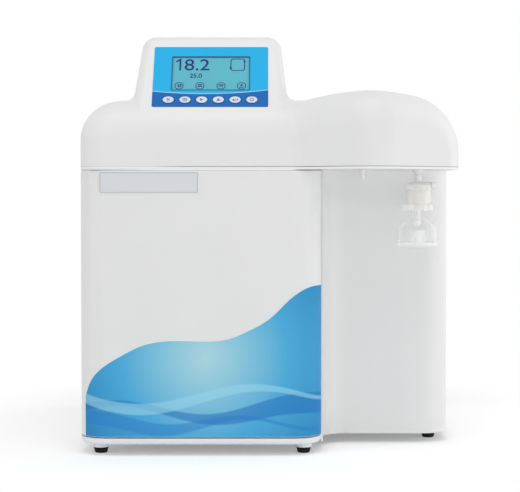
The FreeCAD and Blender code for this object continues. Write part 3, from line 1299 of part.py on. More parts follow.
def rear_panel():
    left, width = "side_left + panel_wall", "body_width - 2 * panel_wall"
    y = "rear - metal_gauge"
    sheet_body = box(left, y, "tray_top", width, "metal_gauge", "frame_low - tray_top")
    x, z, wide, high = entry_window()
    rooms = [box(x, f"{y} - overrun", z, wide, "metal_gauge + 2 * overrun", high)]
    for x in port_places().values():
        rooms.append(rod(x, f"{y} - overrun", "port_z", "port_shank_radius", "metal_gauge + 2 * overrun",
                         "back"))
    for step in range(int(value("slot_count"))):
        rooms.append(box("side_left + slot_inset", f"{y} - overrun",
                         f"frame_low - slot_drop - {step} * slot_pitch", "slot_width",
                         "metal_gauge + 2 * overrun", "slot_height"))
    node("rear_panel", cut(sheet_body, *rooms))


def rear_screws():
    heads = []
    for x in ("side_left + panel_wall + screw_inset", "side_right - panel_wall - screw_inset"):
        for z in ("tray_top + screw_inset", "(tray_top + frame_low) / 2", "frame_low - screw_inset"):
            heads.append(cone(x, "rear", z, "screw_radius", "screw_radius * 2 / 3", "screw_head", "back"))
    node("rear_screws", fuse(*heads))


def power_entry():
    """Mains entry: a flanged housing with the inlet's socket and blades, a fuse slot and a switch well."""
    x, z, wide, high = entry_window()
    housing = box(x, "rear - entry_depth", z, wide, "entry_depth", high)
    flange = box(f"{x} - entry_flange_reach", "rear", f"{z} - entry_flange_reach",
                 f"{wide} + 2 * entry_flange_reach", "entry_flange", f"{high} + 2 * entry_flange_reach")
    face = "rear + entry_flange"
    socket = box("entry_x - socket_width / 2", f"{face} - socket_sink", "entry_z + socket_low", "socket_width",
                 "socket_sink + overrun", "socket_height")
    fuse_room = box("entry_x - fuse_width / 2", f"{face} - fuse_sink", "entry_z + fuse_low", "fuse_width",
                    "fuse_sink + overrun", "fuse_height")
    well = box("entry_x - rocker_width / 2 - rocker_gap", f"{face} - rocker_sink",
               "entry_z + rocker_low - rocker_gap", "rocker_width + 2 * rocker_gap", "rocker_sink + overrun",
               "rocker_height + 2 * rocker_gap")
    blades = [box(f"entry_x + ({step}) * blade_pitch - blade_width / 2", f"{face} - socket_sink - overrun",
                  f"entry_z + socket_low + blade_height / 2 + {rise}", "blade_width", "blade_length + overrun",
                  "blade_height") for step, rise in ((-1, "0"), (0, "earth_rise"), (1, "0"))]
    bearing = rocker_pin("rocker_pin_radius + running_gap", "rocker_pin_reach + loose_gap")
    node("power_entry", fuse(cut(fuse(housing, flange), socket, fuse_room, well, bearing), *blades))


def rocker_pin(radius, reach):
    """The rod through the rocker's axis, running out on each side by the reach."""
    return rod(f"entry_x - rocker_width / 2 - ({reach})", "rear + entry_flange - rocker_sink / 3",
               "entry_z + rocker_low + rocker_height / 2", radius, f"rocker_width + 2 * ({reach})", "right")


def fuse_drawer():
    gap = "loose_gap / 3"
    node("fuse_drawer", box(f"entry_x - fuse_width / 2 + {gap}", "rear + entry_flange - fuse_sink",
                            f"entry_z + fuse_low + {gap}", f"fuse_width - 2 * {gap}", "fuse_sink + fuse_proud",
                            f"fuse_height - 2 * {gap}"))


def power_rocker():
    """Rocker: a shallow V outside, a wedge behind and a pin on each side that turns in the well's walls.

    Both ends lean back, so that their outer corners sweep one circle about the pins, clear of the well.
    """
    half = "rocker_height / 2"
    profile = [
        (f"-({half})", "-rocker_sink / 3"), ("0", "-rocker_sink * 2 / 3"), (half, "-rocker_sink / 3"),
        ("rocker_flush_end", "rocker_proud / 3"), ("0", "0"), ("-rocker_proud_end", "rocker_proud"),
    ]
    body = doc.addObject("PartDesign::Body", "Rocker")
    pad = body.newObject("PartDesign::Pad", "Pad")
    pad.Profile = new_sketch(body, "XY_Plane", [profile])
    bind(pad, Length="rocker_width")
    doc.recompute()
    body.Placement = Placement(Vector(), Rotation(Vector(0, 0, 1), Vector(0, 1, 0), Vector(1, 0, 0), "ZYX"))
    bind(body, Placement__Base__x="entry_x - rocker_width / 2", Placement__Base__y="rear + entry_flange",
         Placement__Base__z="entry_z + rocker_low + rocker_height / 2")
    node("power_rocker", fuse(body, rocker_pin("rocker_pin_radius", "rocker_pin_reach")))


BUILDERS = (
    base_tray, feet, rear_panel, rear_screws, left_side_panel, bay_panel, partition, top_frame, top_cover,
    keypad_foil, display_window, display_module, display_board, keys,
    door_shell, door_film, name_plate, strike_plates, door_magnets, hinge_pins,
    outlet_fitting, capsule_cap, vent_cap, filter_membrane, capsule_body, capsule_bell, outlet_nozzle,
    bell_dust_cap, stub_outlet,
    cartridges, cartridge_manifold, ro_module, booster_pump, loop_pump, lamp_reactor, power_supply,
    control_board, valve_block, ports, resistivity_cell, outlet_pipe, power_entry, fuse_drawer, power_rocker,
)
for build in BUILDERS:
    build()
doc.recompute()

for thing in doc.Objects:
    if "Invalid" in thing.State or "Error" in thing.State:
        raise RuntimeError(f"{thing.Label} did not build: {thing.State}")
for thing in nodes:
    if thing.Shape.isNull() or not thing.Shape.isValid() or not thing.Shape.Solids:
        raise RuntimeError(f"{thing.Label} has no valid solid")

os.makedirs("parts", exist_ok=True)
for thing in nodes:
    thing.Shape.exportStep(f"parts/{thing.Label}.step")
print(len(nodes), "parts")
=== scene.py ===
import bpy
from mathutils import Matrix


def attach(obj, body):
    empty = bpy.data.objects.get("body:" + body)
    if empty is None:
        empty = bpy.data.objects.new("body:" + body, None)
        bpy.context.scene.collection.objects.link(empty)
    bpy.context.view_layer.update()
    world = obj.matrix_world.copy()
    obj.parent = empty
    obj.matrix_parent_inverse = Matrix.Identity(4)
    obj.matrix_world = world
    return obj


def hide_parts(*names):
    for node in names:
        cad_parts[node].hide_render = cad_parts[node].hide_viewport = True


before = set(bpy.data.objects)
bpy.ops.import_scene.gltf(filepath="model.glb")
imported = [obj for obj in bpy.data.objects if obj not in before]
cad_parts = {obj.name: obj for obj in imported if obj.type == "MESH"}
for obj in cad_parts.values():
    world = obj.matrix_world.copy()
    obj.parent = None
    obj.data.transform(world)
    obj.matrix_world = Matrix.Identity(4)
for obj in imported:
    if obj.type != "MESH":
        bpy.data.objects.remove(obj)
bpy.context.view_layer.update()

import math

import bmesh
import bpy
import numpy as np
from mathutils import Vector

# Camera
# Eye level is a little above the door's middle, far in front, with the long lens of a product
# photograph. Lengths in this script are in millimetres where no comment says otherwise.
MM = 0.001
EYE = Vector((-2.0, -1787.5, 292.0)) * MM
LOOK_DOWN_DEGREES = 1.8
SENSOR_WIDTH, LENS_LENGTH, FRAME_SHIFT = 36.0, 100.73, (-0.0163, -0.0159)
FARTHEST_METRES = 20.0

camera = bpy.data.objects.new("camera", bpy.data.cameras.new("camera"))
bpy.context.scene.collection.objects.link(camera)
camera.location = EYE
camera.rotation_euler = (math.radians(90.0 - LOOK_DOWN_DEGREES), 0.0, 0.0)
camera.data.sensor_width = SENSOR_WIDTH
camera.data.lens = LENS_LENGTH
camera.data.shift_x, camera.data.shift_y = FRAME_SHIFT
camera.data.clip_end = FARTHEST_METRES
bpy.context.scene.camera = camera
bpy.context.scene.view_settings.view_transform = "Standard"

# Studio light
# A pale even room, a broad lamp at each side, one above, and two low strips that open the shade under
# the nose. Each has its place, its target and its size in metres, and its power in watts.
LAMPS = {
    "left_lamp": ((-2.2, -1.2, 0.6), (-0.1, -0.1, 0.25), (1.4, 1.4), 9.0),
    "top_lamp": ((0.0, -0.8, 2.4), (0.0, 0.0, 0.3), (1.6, 1.2), 14.2),
    "rear_right_lamp": ((2.0, 0.5, 0.7), (0.1, 0.0, 0.3), (1.0, 1.4), 8.3),
    "low_front_lamp": ((0.6, -2.2, 0.12), (0.1, -0.2, 0.12), (1.6, 0.2), 4.6),
    "low_right_lamp": ((2.2, -1.5, 0.13), (0.1, -0.1, 0.13), (1.2, 0.22), 8.0),
}
ROOM_LIGHT = 0.6

for name, (place, target, size, power) in LAMPS.items():
    light = bpy.data.lights.new(name, "AREA")
    light.shape = "RECTANGLE"
    light.size, light.size_y = size
    light.energy = power
    lamp = bpy.data.objects.new(name, light)
    lamp.location = place
    lamp.rotation_euler = (Vector(target) - Vector(place)).to_track_quat("-Z", "Y").to_euler()
    bpy.context.scene.collection.objects.link(lamp)


class Wire:
    """A value in a shader tree. Sums and products of wires add math nodes, so a formula reads as one."""

    def __init__(self, tree, socket):
        self.tree, self.socket = tree, socket

    def calc(self, operation, *others):
        """The operation's result for this wire and the others, each of them a wire or a number."""
        node = self.tree.nodes.new("ShaderNodeMath")
        node.operation = operation
        for port, item in zip(node.inputs, (self,) + others):
            if isinstance(item, Wire):
                self.tree.links.new(item.socket, port)
            else:
                port.default_value = item
        return Wire(self.tree, node.outputs[0])

    def __add__(self, other):
        return self.calc("ADD", other)

    def __sub__(self, other):
        return self.calc("SUBTRACT", other)

    def __mul__(self, other):
        return self.calc("MULTIPLY", other)

    def __truediv__(self, other):
        return self.calc("DIVIDE", other)

    def __abs__(self):
        return self.calc("ABSOLUTE")

    def mapped(self, low, high, to_low=0.0, to_high=1.0, smooth=True):
        """From to_low at low to to_high at high, held beyond, with a smooth or a straight course."""
        node = self.tree.nodes.new("ShaderNodeMapRange")
        node.interpolation_type = "SMOOTHSTEP" if smooth else "LINEAR"
        for port, value in zip(("From Min", "From Max", "To Min", "To Max"), (low, high, to_low, to_high)):
            node.inputs[port].default_value = value
        self.tree.links.new(self.socket, node.inputs["Value"])
        return Wire(self.tree, node.outputs[0])


def seen_directly(tree):
    """One for camera, glossy and transmission rays, zero for the light that falls on things."""
    path = tree.nodes.new("ShaderNodeLightPath")
    camera_ray, glossy_ray, through_ray = (
        Wire(tree, path.outputs[f"Is {kind} Ray"]) for kind in ("Camera", "Glossy", "Transmission"))
    return camera_ray.calc("MAXIMUM", glossy_ray).calc("MAXIMUM", through_ray)


world = bpy.data.worlds.new("studio")
bpy.context.scene.world = world
world.use_nodes = True
tree = world.node_tree
tree.nodes.clear()
room, shown, mix, out = (tree.nodes.new("ShaderNode" + kind)
                         for kind in ("Background", "Background", "MixShader", "OutputWorld"))
room.inputs["Strength"].default_value = ROOM_LIGHT
shown.inputs["Strength"].default_value = 1.0
for background in (room, shown):
    background.inputs["Color"].default_value = (1.0, 1.0, 1.0, 1.0)
tree.links.new(seen_directly(tree).socket, mix.inputs[0])
tree.links.new(room.outputs[0], mix.inputs[1])
tree.links.new(shown.outputs[0], mix.inputs[2])
tree.links.new(mix.outputs[0], out.inputs[0])

# Floor
# A white table top. It takes the machine's shadow near by, and runs out into the white background.
# Its reach, and where the fade into white starts and ends, are in metres.
FLOOR_GREY, FLOOR_GLOW = 0.88, 0.24
FLOOR_REACH, FLOOR_FADE = 6.0, (0.3, 0.56)

floor_mesh = bpy.data.meshes.new("floor")
floor_corners = [(x * FLOOR_REACH, y * FLOOR_REACH, 0.0) for x, y in ((-1, -1), (1, -1), (1, 1), (-1, 1))]
floor_mesh.from_pydata(floor_corners, [], [(0, 1, 2, 3)])
floor = bpy.data.objects.new("floor", floor_mesh)
bpy.context.scene.collection.objects.link(floor)
floor_paint = bpy.data.materials.new("floor")
floor_paint.use_nodes = True
tree = floor_paint.node_tree
tree.nodes.clear()
diffuse, glow, total, white, fade, out = (
    tree.nodes.new("ShaderNode" + kind)
    for kind in ("BsdfDiffuse", "Emission", "AddShader", "Emission", "MixShader", "OutputMaterial"))
diffuse.inputs["Color"].default_value = (FLOOR_GREY, FLOOR_GREY, FLOOR_GREY, 1.0)
glow.inputs["Color"].default_value = (FLOOR_GLOW, FLOOR_GLOW, FLOOR_GLOW, 1.0)
white.inputs["Color"].default_value = (1.0, 1.0, 1.0, 1.0)
direct = seen_directly(tree)
place, distance = tree.nodes.new("ShaderNodeTexCoord"), tree.nodes.new("ShaderNodeVectorMath")
distance.operation = "LENGTH"
tree.links.new(place.outputs["Object"], distance.inputs[0])
far = Wire(tree, distance.outputs["Value"]).mapped(*FLOOR_FADE) * direct
tree.links.new(direct.socket, glow.inputs["Strength"])
tree.links.new(diffuse.outputs[0], total.inputs[0])
tree.links.new(glow.outputs[0], total.inputs[1])
tree.links.new(far.socket, fade.inputs[0])
tree.links.new(total.outputs[0], fade.inputs[1])
tree.links.new(white.outputs[0], fade.inputs[2])
tree.links.new(fade.outputs[0], out.inputs[0])
floor_mesh.materials.append(floor_paint)

# Base tray and feet
# The tray is moulded in pale grey plastic with a fine spark-eroded grain. The feet are black rubber
# buttons pressed into its bosses.
DRIFT_SCALE, DRIFT_RANGE, ROUGH_DRIFT = 14.0, (0.3, 0.7), 0.1
GRAIN_DETAIL, GRAIN_HEIGHT_METRES = 3.0, 0.0005
WELD_REACH, BEVEL_RUNS, BEVEL_DEGREES = 0.01, 2, 35.0


def linear(colour):
    """A display colour of 0 to 255 as linear light, by the sRGB curve: a straight foot, then a power."""
    return tuple(c / 255 / 12.92 if c <= 10 else ((c / 255 + 0.055) / 1.055) ** 2.4 for c in colour) + (1.0,)


def finish(name, colour, rough=0.45, metal=0.0, grain=900.0, bump=0.02, uneven=0.03, shine=0.5,
           drawn=(1, 1, 1)):
    """A moulded, painted or metal surface.

    A slow noise moves the colour up and down by the share uneven, and the roughness by a tenth. A fine
    noise raises the grain, which drawn stretches along an axis, as brushing or turning does.
    """
    material = bpy.data.materials.new(name)
    material.use_nodes = True
    tree = material.node_tree
    nodes, links = tree.nodes, tree.links
    shader = nodes["Principled BSDF"]
    place, along = nodes.new("ShaderNodeTexCoord"), nodes.new("ShaderNodeMapping")
    slow, fine = nodes.new("ShaderNodeTexNoise"), nodes.new("ShaderNodeTexNoise")
    along.inputs["Scale"].default_value = drawn
    slow.inputs["Scale"].default_value = DRIFT_SCALE
    fine.inputs["Scale"].default_value = grain
    fine.inputs["Detail"].default_value = GRAIN_DETAIL
    links.new(place.outputs["Object"], slow.inputs["Vector"])
    links.new(place.outputs["Object"], along.inputs["Vector"])
    links.new(along.outputs["Vector"], fine.inputs["Vector"])
    tone = nodes.new("ShaderNodeMix")
    tone.data_type = "RGBA"
    base = linear(colour)
    tone.inputs["A"].default_value = tuple(c * (1 - uneven) for c in base[:3]) + (1.0,)
    tone.inputs["B"].default_value = tuple(min(1.0, c * (1 + uneven)) for c in base[:3]) + (1.0,)
    links.new(slow.outputs["Fac"], tone.inputs["Factor"])
    links.new(tone.outputs["Result"], shader.inputs["Base Color"])
    rough_range = rough * (1 - ROUGH_DRIFT), min(1.0, rough * (1 + ROUGH_DRIFT))
    wave = Wire(tree, slow.outputs["Fac"]).mapped(*DRIFT_RANGE, *rough_range, smooth=False)
    links.new(wave.socket, shader.inputs["Roughness"])
    height = nodes.new("ShaderNodeBump")
    height.inputs["Strength"].default_value = bump
    height.inputs["Distance"].default_value = GRAIN_HEIGHT_METRES
    links.new(fine.outputs["Fac"], height.inputs["Height"])
    links.new(height.outputs["Normal"], shader.inputs["Normal"])
    shader.inputs["Metallic"].default_value = metal
    shader.inputs["Specular IOR Level"].default_value = shine
    return material


def dress(nodes, material, edge=0.25):
    """Give the nodes a material, and soft edges by a weld, a small bevel and weighted normals."""
    for name in nodes:
        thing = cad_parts[name]
        thing.data.materials.clear()
        thing.data.materials.append(material)
        thing.data.shade_smooth()
        thing.modifiers.new("weld", "WELD").merge_threshold = WELD_REACH * MM
        bevel = thing.modifiers.new("bevel", "BEVEL")
        bevel.width = edge * MM
        bevel.segments = BEVEL_RUNS
        bevel.limit_method = "ANGLE"
        bevel.angle_limit = math.radians(BEVEL_DEGREES)
        bevel.harden_normals = True
        thing.modifiers.new("normals", "WEIGHTED_NORMAL").keep_sharp = True


dress(["base_tray"], finish("tray_plastic", (230, 232, 235), grain=1300.0, bump=0.04))
dress(["foot_front_left", "foot_front_middle", "foot_bay", "foot_rear_left", "foot_rear_right"],
      finish("foot_rubber", (15, 15, 17), rough=0.75, grain=2200.0, bump=0.15, uneven=0.25, shine=0.3))

# Side panel, bay panel and partition
# The left side and the partition are sheet steel with a powder coat's faint orange peel. The bay panel
# is one moulded sheet that wraps from the door round to the right side.
dress(["left_side_panel"], finish("side_paint", (226, 226, 227), rough=0.5, bump=0.06, grain=1500.0))
dress(["bay_panel"], finish("bay_plastic", (229, 229, 229), rough=0.5, grain=1100.0))
dress(["partition"], finish("inner_paint", (217, 218, 219), rough=0.55, bump=0.06, grain=1500.0))

# Rear panel and screws
# Bent sheet steel, powder coated, held by pan-head screws with a cross recess, drawn as a dark cross
# set on each head: painted shade of the recess.
RECESS_LENGTH, RECESS_WIDTH, RECESS_SINK, RECESS_RISE = 1.9, 0.55, 0.2, 0.02
SCREW_ROOM = 20.0


def node_points(name):
    """The node's vertices as rows of x, y and z in millimetres."""
    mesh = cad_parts[name].data
    flat = np.empty(len(mesh.vertices) * 3)
    mesh.vertices.foreach_get("co", flat)
    return flat.reshape(-1, 3) / MM


def box_of(name):
    """The node's lowest and highest corner in millimetres."""
    points = node_points(name)
    return points.min(axis=0), points.max(axis=0)


def add_piece(name, points, faces, material, body="chassis", slot=None, smooth=True):
    """A piece from points in millimetres, with its normals turned outwards."""
    mesh = bpy.data.meshes.new(name)
    mesh.from_pydata((np.asarray(points) * MM).tolist(), [], faces)
    work = bmesh.new()
    work.from_mesh(mesh)
    bmesh.ops.recalc_face_normals(work, faces=work.faces)
    work.to_mesh(mesh)
    work.free()
    mesh.materials.append(material)
    if smooth:
        mesh.shade_smooth()
    piece = bpy.data.objects.new(name, mesh)
    bpy.context.scene.collection.objects.link(piece)
    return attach(piece, body)


def prism(outline, low, high):
    """A flat outline of (across, up) rows, closed by itself, raised from low to high."""
    outline = np.asarray(outline, dtype=float)
    count = len(outline)
    points = np.vstack([np.column_stack([outline, np.full(count, level)]) for level in (low, high)])
    step = np.arange(count)
    after = (step + 1) % count
    sides = np.column_stack([step, after, after + count, step + count]).tolist()
    return points, sides + [step[::-1].tolist(), (step + count).tolist()]


def joined(solids):
    """Several (points, faces) pairs as one."""
    points, faces, start = [], [], 0
    for some, rows in solids:
        points.append(some)
        faces += [[start + corner for corner in row] for row in rows]
        start += len(some)
    return np.vstack(points), faces


def put(points, origin, right, up, out):
    """Points of (across, up, out) set into a plane given by its origin and three directions."""
    return np.asarray(origin) + points @ np.array([right, up, out])


def cross_outline(length, width, count=48):
    """Outline of a cross: at each angle the farther reach of two bars, one across and one upright.

    The angles are turned a little, because a bar's side lies endlessly far along its own axis.
    """
    turn = 0.01
    angle = np.linspace(0, 2 * np.pi, count, endpoint=False) + turn
    c, s = np.abs(np.cos(angle)), np.abs(np.sin(angle))
    lying, standing = np.minimum(length / c, width / s), np.minimum(width / c, length / s)
    return np.column_stack([np.cos(angle), np.sin(angle)]) * np.maximum(lying, standing)[:, None]


def centres(points, reach):
    """Centres in x and z of clusters of points that lie closer together than reach."""
    found = []
    while len(points):
        near = np.hypot(*(points[:, [0, 2]] - points[0, [0, 2]]).T) < reach
        found.append((points[near].min(axis=0) + points[near].max(axis=0)) / 2)
        points = points[~near]
    return found


dress(["rear_panel"], finish("rear_steel", (214, 215, 216), rough=0.5, bump=0.08, grain=1500.0))
screw_steel = finish("screw_steel", (190, 190, 190), rough=0.28, metal=1.0, uneven=0.06)
# Painted shade: the dark of the cross recess's hollow, set on the steel of each head
recess_painted_shade = finish("screw_recess_painted_shade", (46, 46, 48), rough=0.6)
dress(["rear_screws"], screw_steel, edge=0.15)
heads = node_points("rear_screws")
head_top = heads[:, 1].max()
points, faces = prism(cross_outline(RECESS_LENGTH, RECESS_WIDTH), -RECESS_SINK, RECESS_RISE)
crosses = [(put(points, (centre[0], head_top, centre[2]), (-1, 0, 0), (0, 0, 1), (0, 1, 0)), faces)
           for centre in centres(heads, SCREW_ROOM)]
add_piece("screw_recess_shades", *joined(crosses), recess_painted_shade, slot="screw_steel", smooth=False)

# Top frame and cover
# Both are satin white mouldings. A dark strip in the seam between them stands for the shade in the seam's
# gap, and a pale seal closes the gap over the door. Their tones change along the machine, at shares of
# its width: painted shade, darkest on the strip where the nose begins, on the seal grey at its left end
# and darker under the nose.
# The strip in the seam is a dark piece that stands for the seam's shade: its heights, inset and depth
SEAM_SHADE_BELOW, SEAM_SHADE_ABOVE, SEAM_SHADE_INSET, SEAM_SHADE_DEPTH = 0.1, 0.1, -0.04, 0.9
SEAL_CLEAR, SEAL_SETBACK, SEAL_DEPTH, SEAL_ENDS = 0.1, 0.1, 3.0, (-206.0, 56.0)
SHADE_TONE_SPAN = (-200.0, 200.0)
# Painted shade of the seam: pale at the left end, darker along the door, darkest where the nose begins
SEAM_SHADE_TONES = (
    (0.17, (214, 214, 215)), (0.26, (136, 127, 131)), (0.55, (148, 140, 144)),
    (0.61, (104, 90, 93)), (0.68, (140, 134, 142)), (1.0, (164, 159, 168)),
)
# Painted shade on the seal: grey at its left end, pale along the door, darker under the nose where shade
# falls
SEAL_SHADE_TONES = (
    (0.05, (214, 214, 216)), (0.2, (255, 255, 255)), (0.56, (252, 252, 252)), (0.575, (190, 182, 178)),
)
NEAR = 0.05


def millimetres(material):
    """The material's x, y and z as wires: its Object coordinates in metres, times a thousand."""
    tree = material.node_tree
    place, parts = tree.nodes.new("ShaderNodeTexCoord"), tree.nodes.new("ShaderNodeSeparateXYZ")
    tree.links.new(place.outputs["Object"], parts.inputs[0])
    return [Wire(tree, socket) * 1000.0 for socket in parts.outputs]


def blend_colours(factor, below, above):
    """The colour below where factor is 0 and above where it is 1; colours are 0 to 255, or sockets."""
    links, node = factor.tree.links, factor.tree.nodes.new("ShaderNodeMix")
    node.data_type = "RGBA"
    links.new(factor.socket, node.inputs["Factor"])
    for name, colour in (("A", below), ("B", above)):
        if isinstance(colour, tuple):
            node.inputs[name].default_value = linear(colour)
        else:
            links.new(colour, node.inputs[name])
    return node.outputs["Result"]


def ramp(factor, stops):
    """The colour at factor along stops of a place and a colour, straight from stop to stop."""
    node = factor.tree.nodes.new("ShaderNodeValToRGB")
    factor.tree.links.new(factor.socket, node.inputs[0])
    elements = node.color_ramp.elements
    while len(elements) < len(stops):
        elements.new(0.5)
    for element, (place, colour) in zip(elements, stops):
        element.position = place
        element.color = linear(colour)
    return node.outputs[0]


def use_colour(material, colour):
    """Paint the material with what the socket colour gives."""
    material.node_tree.links.new(colour, material.node_tree.nodes["Principled BSDF"].inputs["Base Color"])


def outer_rim(name, low, high):
    """Corners, anticlockwise, of the upright outer wall that stands from one height to another.

    They are the places that lie at both heights on upright faces which look away from the middle.
    """
    lean, near = 0.2, 0.02
    mesh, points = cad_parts[name].data, node_points(name)
    middle = (points.min(axis=0) + points.max(axis=0))[:2] / 2
    corner, size = np.empty(len(mesh.loops), dtype=int), np.empty(len(mesh.polygons), dtype=int)
    normals = np.empty(len(mesh.polygons) * 3)
    mesh.loops.foreach_get("vertex_index", corner)
    mesh.polygons.foreach_get("loop_total", size)
    mesh.polygons.foreach_get("normal", normals)
    normals = np.repeat(normals.reshape(-1, 3), size, axis=0)
    at = points[corner]
    away = np.sum(normals[:, :2] * (at[:, :2] - middle), axis=1) > 0
    wall = away & (np.abs(normals[:, 2]) < lean)
    ends = [np.unique(at[wall & (np.abs(at[:, 2] - height) < near)][:, :2].round(2), axis=0)
            for height in (low, high)]
    places, count = np.unique(np.vstack(ends), axis=0, return_counts=True)
    rim = places[count == 2]
    return rim[np.argsort(np.arctan2(*(rim - middle).T[::-1]))]


def strip(path, width, low, high, closed=False, shift=0.0):
    """A bar of rectangular section carried along a flat path of (across, up) rows, with mitred corners.

    At each point the side direction is square to the mean of the runs before and after it, and is
    lengthened by one over the cosine of half the turn, so the bar keeps its width. The bar's middle
    stands off to the left of the path by shift.
    """
    path = np.asarray(path, dtype=float)
    ahead = np.roll(path, -1, axis=0) - path
    ahead /= np.linalg.norm(ahead, axis=1)[:, None]
    behind = np.roll(ahead, 1, axis=0)
    if not closed:
        ahead[-1], behind[0] = behind[-1], ahead[0]
    mean = ahead + behind
    mean /= np.linalg.norm(mean, axis=1)[:, None]
    side = np.column_stack([-mean[:, 1], mean[:, 0]]) / np.sum(mean * ahead, axis=1)[:, None]
    corners = [np.column_stack([path + (shift + part * width / 2) * side, np.full(len(path), level)])
               for part, level in ((1, low), (1, high), (-1, high), (-1, low))]
    points = np.stack(corners, axis=1).reshape(-1, 3)
    runs = np.arange(len(path) if closed else len(path) - 1)[:, None]
    ring = np.arange(4)[None, :]
    here, there = runs * 4, (runs + 1) % len(path) * 4
    faces = np.stack([here + ring, here + (ring + 1) % 4, there + (ring + 1) % 4, there + ring], axis=2)
    faces = faces.reshape(-1, 4).tolist()
    if not closed:
        faces += [[0, 1, 2, 3], [len(points) - 1 - corner for corner in (0, 1, 2, 3)]]
    return points, faces


dress(["top_frame"], finish("frame_plastic", (236, 237, 238), rough=0.45), edge=0.4)
cover_plastic = finish("cover_plastic", (227, 227, 227), rough=0.45, grain=1300.0, bump=0.025, shine=0.4)
dress(["top_cover"], cover_plastic, edge=0.5)
frame_low, frame_high = box_of("top_frame")
frame_points = node_points("top_frame")
wall_top = frame_points[frame_points[:, 0] > frame_high[0] - NEAR][:, 2].max()
rim = outer_rim("top_frame", frame_low[2], wall_top)
points, faces = strip(rim, SEAM_SHADE_DEPTH, wall_top - SEAM_SHADE_BELOW, frame_high[2] + SEAM_SHADE_ABOVE,
                      closed=True, shift=SEAM_SHADE_INSET + SEAM_SHADE_DEPTH / 2)
# The strip's colour is painted shade, laid along the machine where the seam's shade falls
seam_shade_paint = finish("seam_shade_strip_paint", (150, 142, 145), rough=0.9, bump=0.3, uneven=0.1)
along = millimetres(seam_shade_paint)[0].mapped(*SHADE_TONE_SPAN, smooth=False)
use_colour(seam_shade_paint, ramp(along, SEAM_SHADE_TONES))
add_piece("cover_seam_shade_strip", points, faces, seam_shade_paint, smooth=False)

door_low, door_high = box_of("door_shell")
seal_low, seal_high = door_high[2] + SEAL_CLEAR, frame_low[2] - SEAL_CLEAR
seal_y = door_low[1] + SEAL_SETBACK + SEAL_DEPTH / 2
points, faces = strip([(end, seal_y) for end in SEAL_ENDS], SEAL_DEPTH, seal_low, seal_high)
# The seal's tones along the machine are painted shade over its pale foam
seal_foam_painted_shade = finish("seal_foam_painted_shade", (240, 240, 238), rough=0.8, bump=0.2)
along = millimetres(seal_foam_painted_shade)[0].mapped(*SHADE_TONE_SPAN, smooth=False)
use_colour(seal_foam_painted_shade, ramp(along, SEAL_SHADE_TONES))
add_piece("door_top_seal", points, faces, seal_foam_painted_shade, smooth=False)

# Keypad foil
# Polyester foil printed on its back: light blue above, dark blue below a pale curved line. The foil's
# own plane gives the places of all that is on the display face: across, up from its low edge, and out.
TILT = math.radians(36.0)
FACE_RIGHT = np.array([1.0, 0.0, 0.0])
FACE_UP = np.array([0.0, math.sin(TILT), math.cos(TILT)])
FACE_OUT = np.array([0.0, -math.cos(TILT), math.sin(TILT)])
FOIL_SKY, FOIL_DEEP, FOIL_LINE = (26, 174, 227), (10, 101, 177), (156, 212, 240)
LINE_HEIGHT, LINE_SLOPE, LINE_BOW = 19.0, 0.9, 4.5
LINE_CORE, LINE_EDGE = 0.25, 0.75


def along_face(name):
    """The node's vertices as rows of across, up and out: their shares of the face's three directions."""
    return node_points(name) @ np.array([FACE_RIGHT, FACE_UP, FACE_OUT]).T


foil_points = along_face("keypad_foil")
foil_low, foil_high = foil_points.min(axis=0), foil_points.max(axis=0)
FOIL_START = np.array([(foil_low[0] + foil_high[0]) / 2, foil_low[1], foil_high[2]])
FACE_START = put(FOIL_START, np.zeros(3), FACE_RIGHT, FACE_UP, FACE_OUT)


def face_box(name):
    """Lowest and highest across, up and out of a node, counted from the middle of the foil's low edge."""
    points = along_face(name) - FOIL_START
    return points.min(axis=0), points.max(axis=0)


def on_face(points):
    """Points of (across, up, out), counted as in face_box, as x, y and z."""
    return put(points, FACE_START, FACE_RIGHT, FACE_UP, FACE_OUT)


foil_print = finish("foil_blue", FOIL_SKY, rough=0.4, shine=0.12, grain=2500.0)
x, y, z = millimetres(foil_print)
share = (x - FACE_START[0]) / ((foil_high[0] - foil_low[0]) / 2)
up = (y - FACE_START[1]) * FACE_UP[1] + (z - FACE_START[2]) * FACE_UP[2]
over = up - (share * share * LINE_BOW + share * LINE_SLOPE + LINE_HEIGHT)
halves = blend_colours(over.mapped(-LINE_CORE, LINE_CORE), FOIL_DEEP, FOIL_SKY)
use_colour(foil_print, blend_colours(abs(over).mapped(LINE_EDGE, LINE_CORE), halves, FOIL_LINE))
dress(["keypad_foil"], foil_print, edge=0.08)

# Window and screen
# A clear acrylic pane over a teal liquid-crystal sheet. The sheet shows plain figures, a loop of two
# arrows and four framed symbols; a blue gasket lines the opening. Places are shares of the window.
SHEET_DEPTH, SHEET_EDGE, SHEET_THICKNESS = 0.2, 0.05, 0.1
INK_SINK, INK_RISE, ARROW_RISE = 0.02, 0.05, 0.02
# Each reading's piece, text, place, width and height, and the weight added to its strokes
READINGS = (
    ("reading_large", "8.2", (0.159, 0.597), (28.2, 16.8), 0.1),
    ("reading_small", "25.0", (0.228, 0.378), (13.9, 6.2), 0.12),
)
ONE_PLACE, ONE, ONE_WIDTH = (0.05, 0.597), ((0.0, 12.9), (4.6, 16.2), (4.6, 0.0)), 2.1
LOOP_LOW, LOOP_HIGH, LOOP_CUT, LOOP_WIDTH = (0.757, 0.60), (0.933, 0.942), 1.6, 1.15
ARROW = np.array([(-1.7, 1.5), (0.0, -2.6), (1.7, 1.5)])
FRAME_SIZE, FRAME_CUT, FRAME_WIDTH = (8.9, 9.1), 2.4, 0.95
SYMBOL_PLACES, SYMBOL_WIDTH = ((0.098, 0.14), (0.3645, 0.14), (0.634, 0.14), (0.898, 0.14)), 1.25
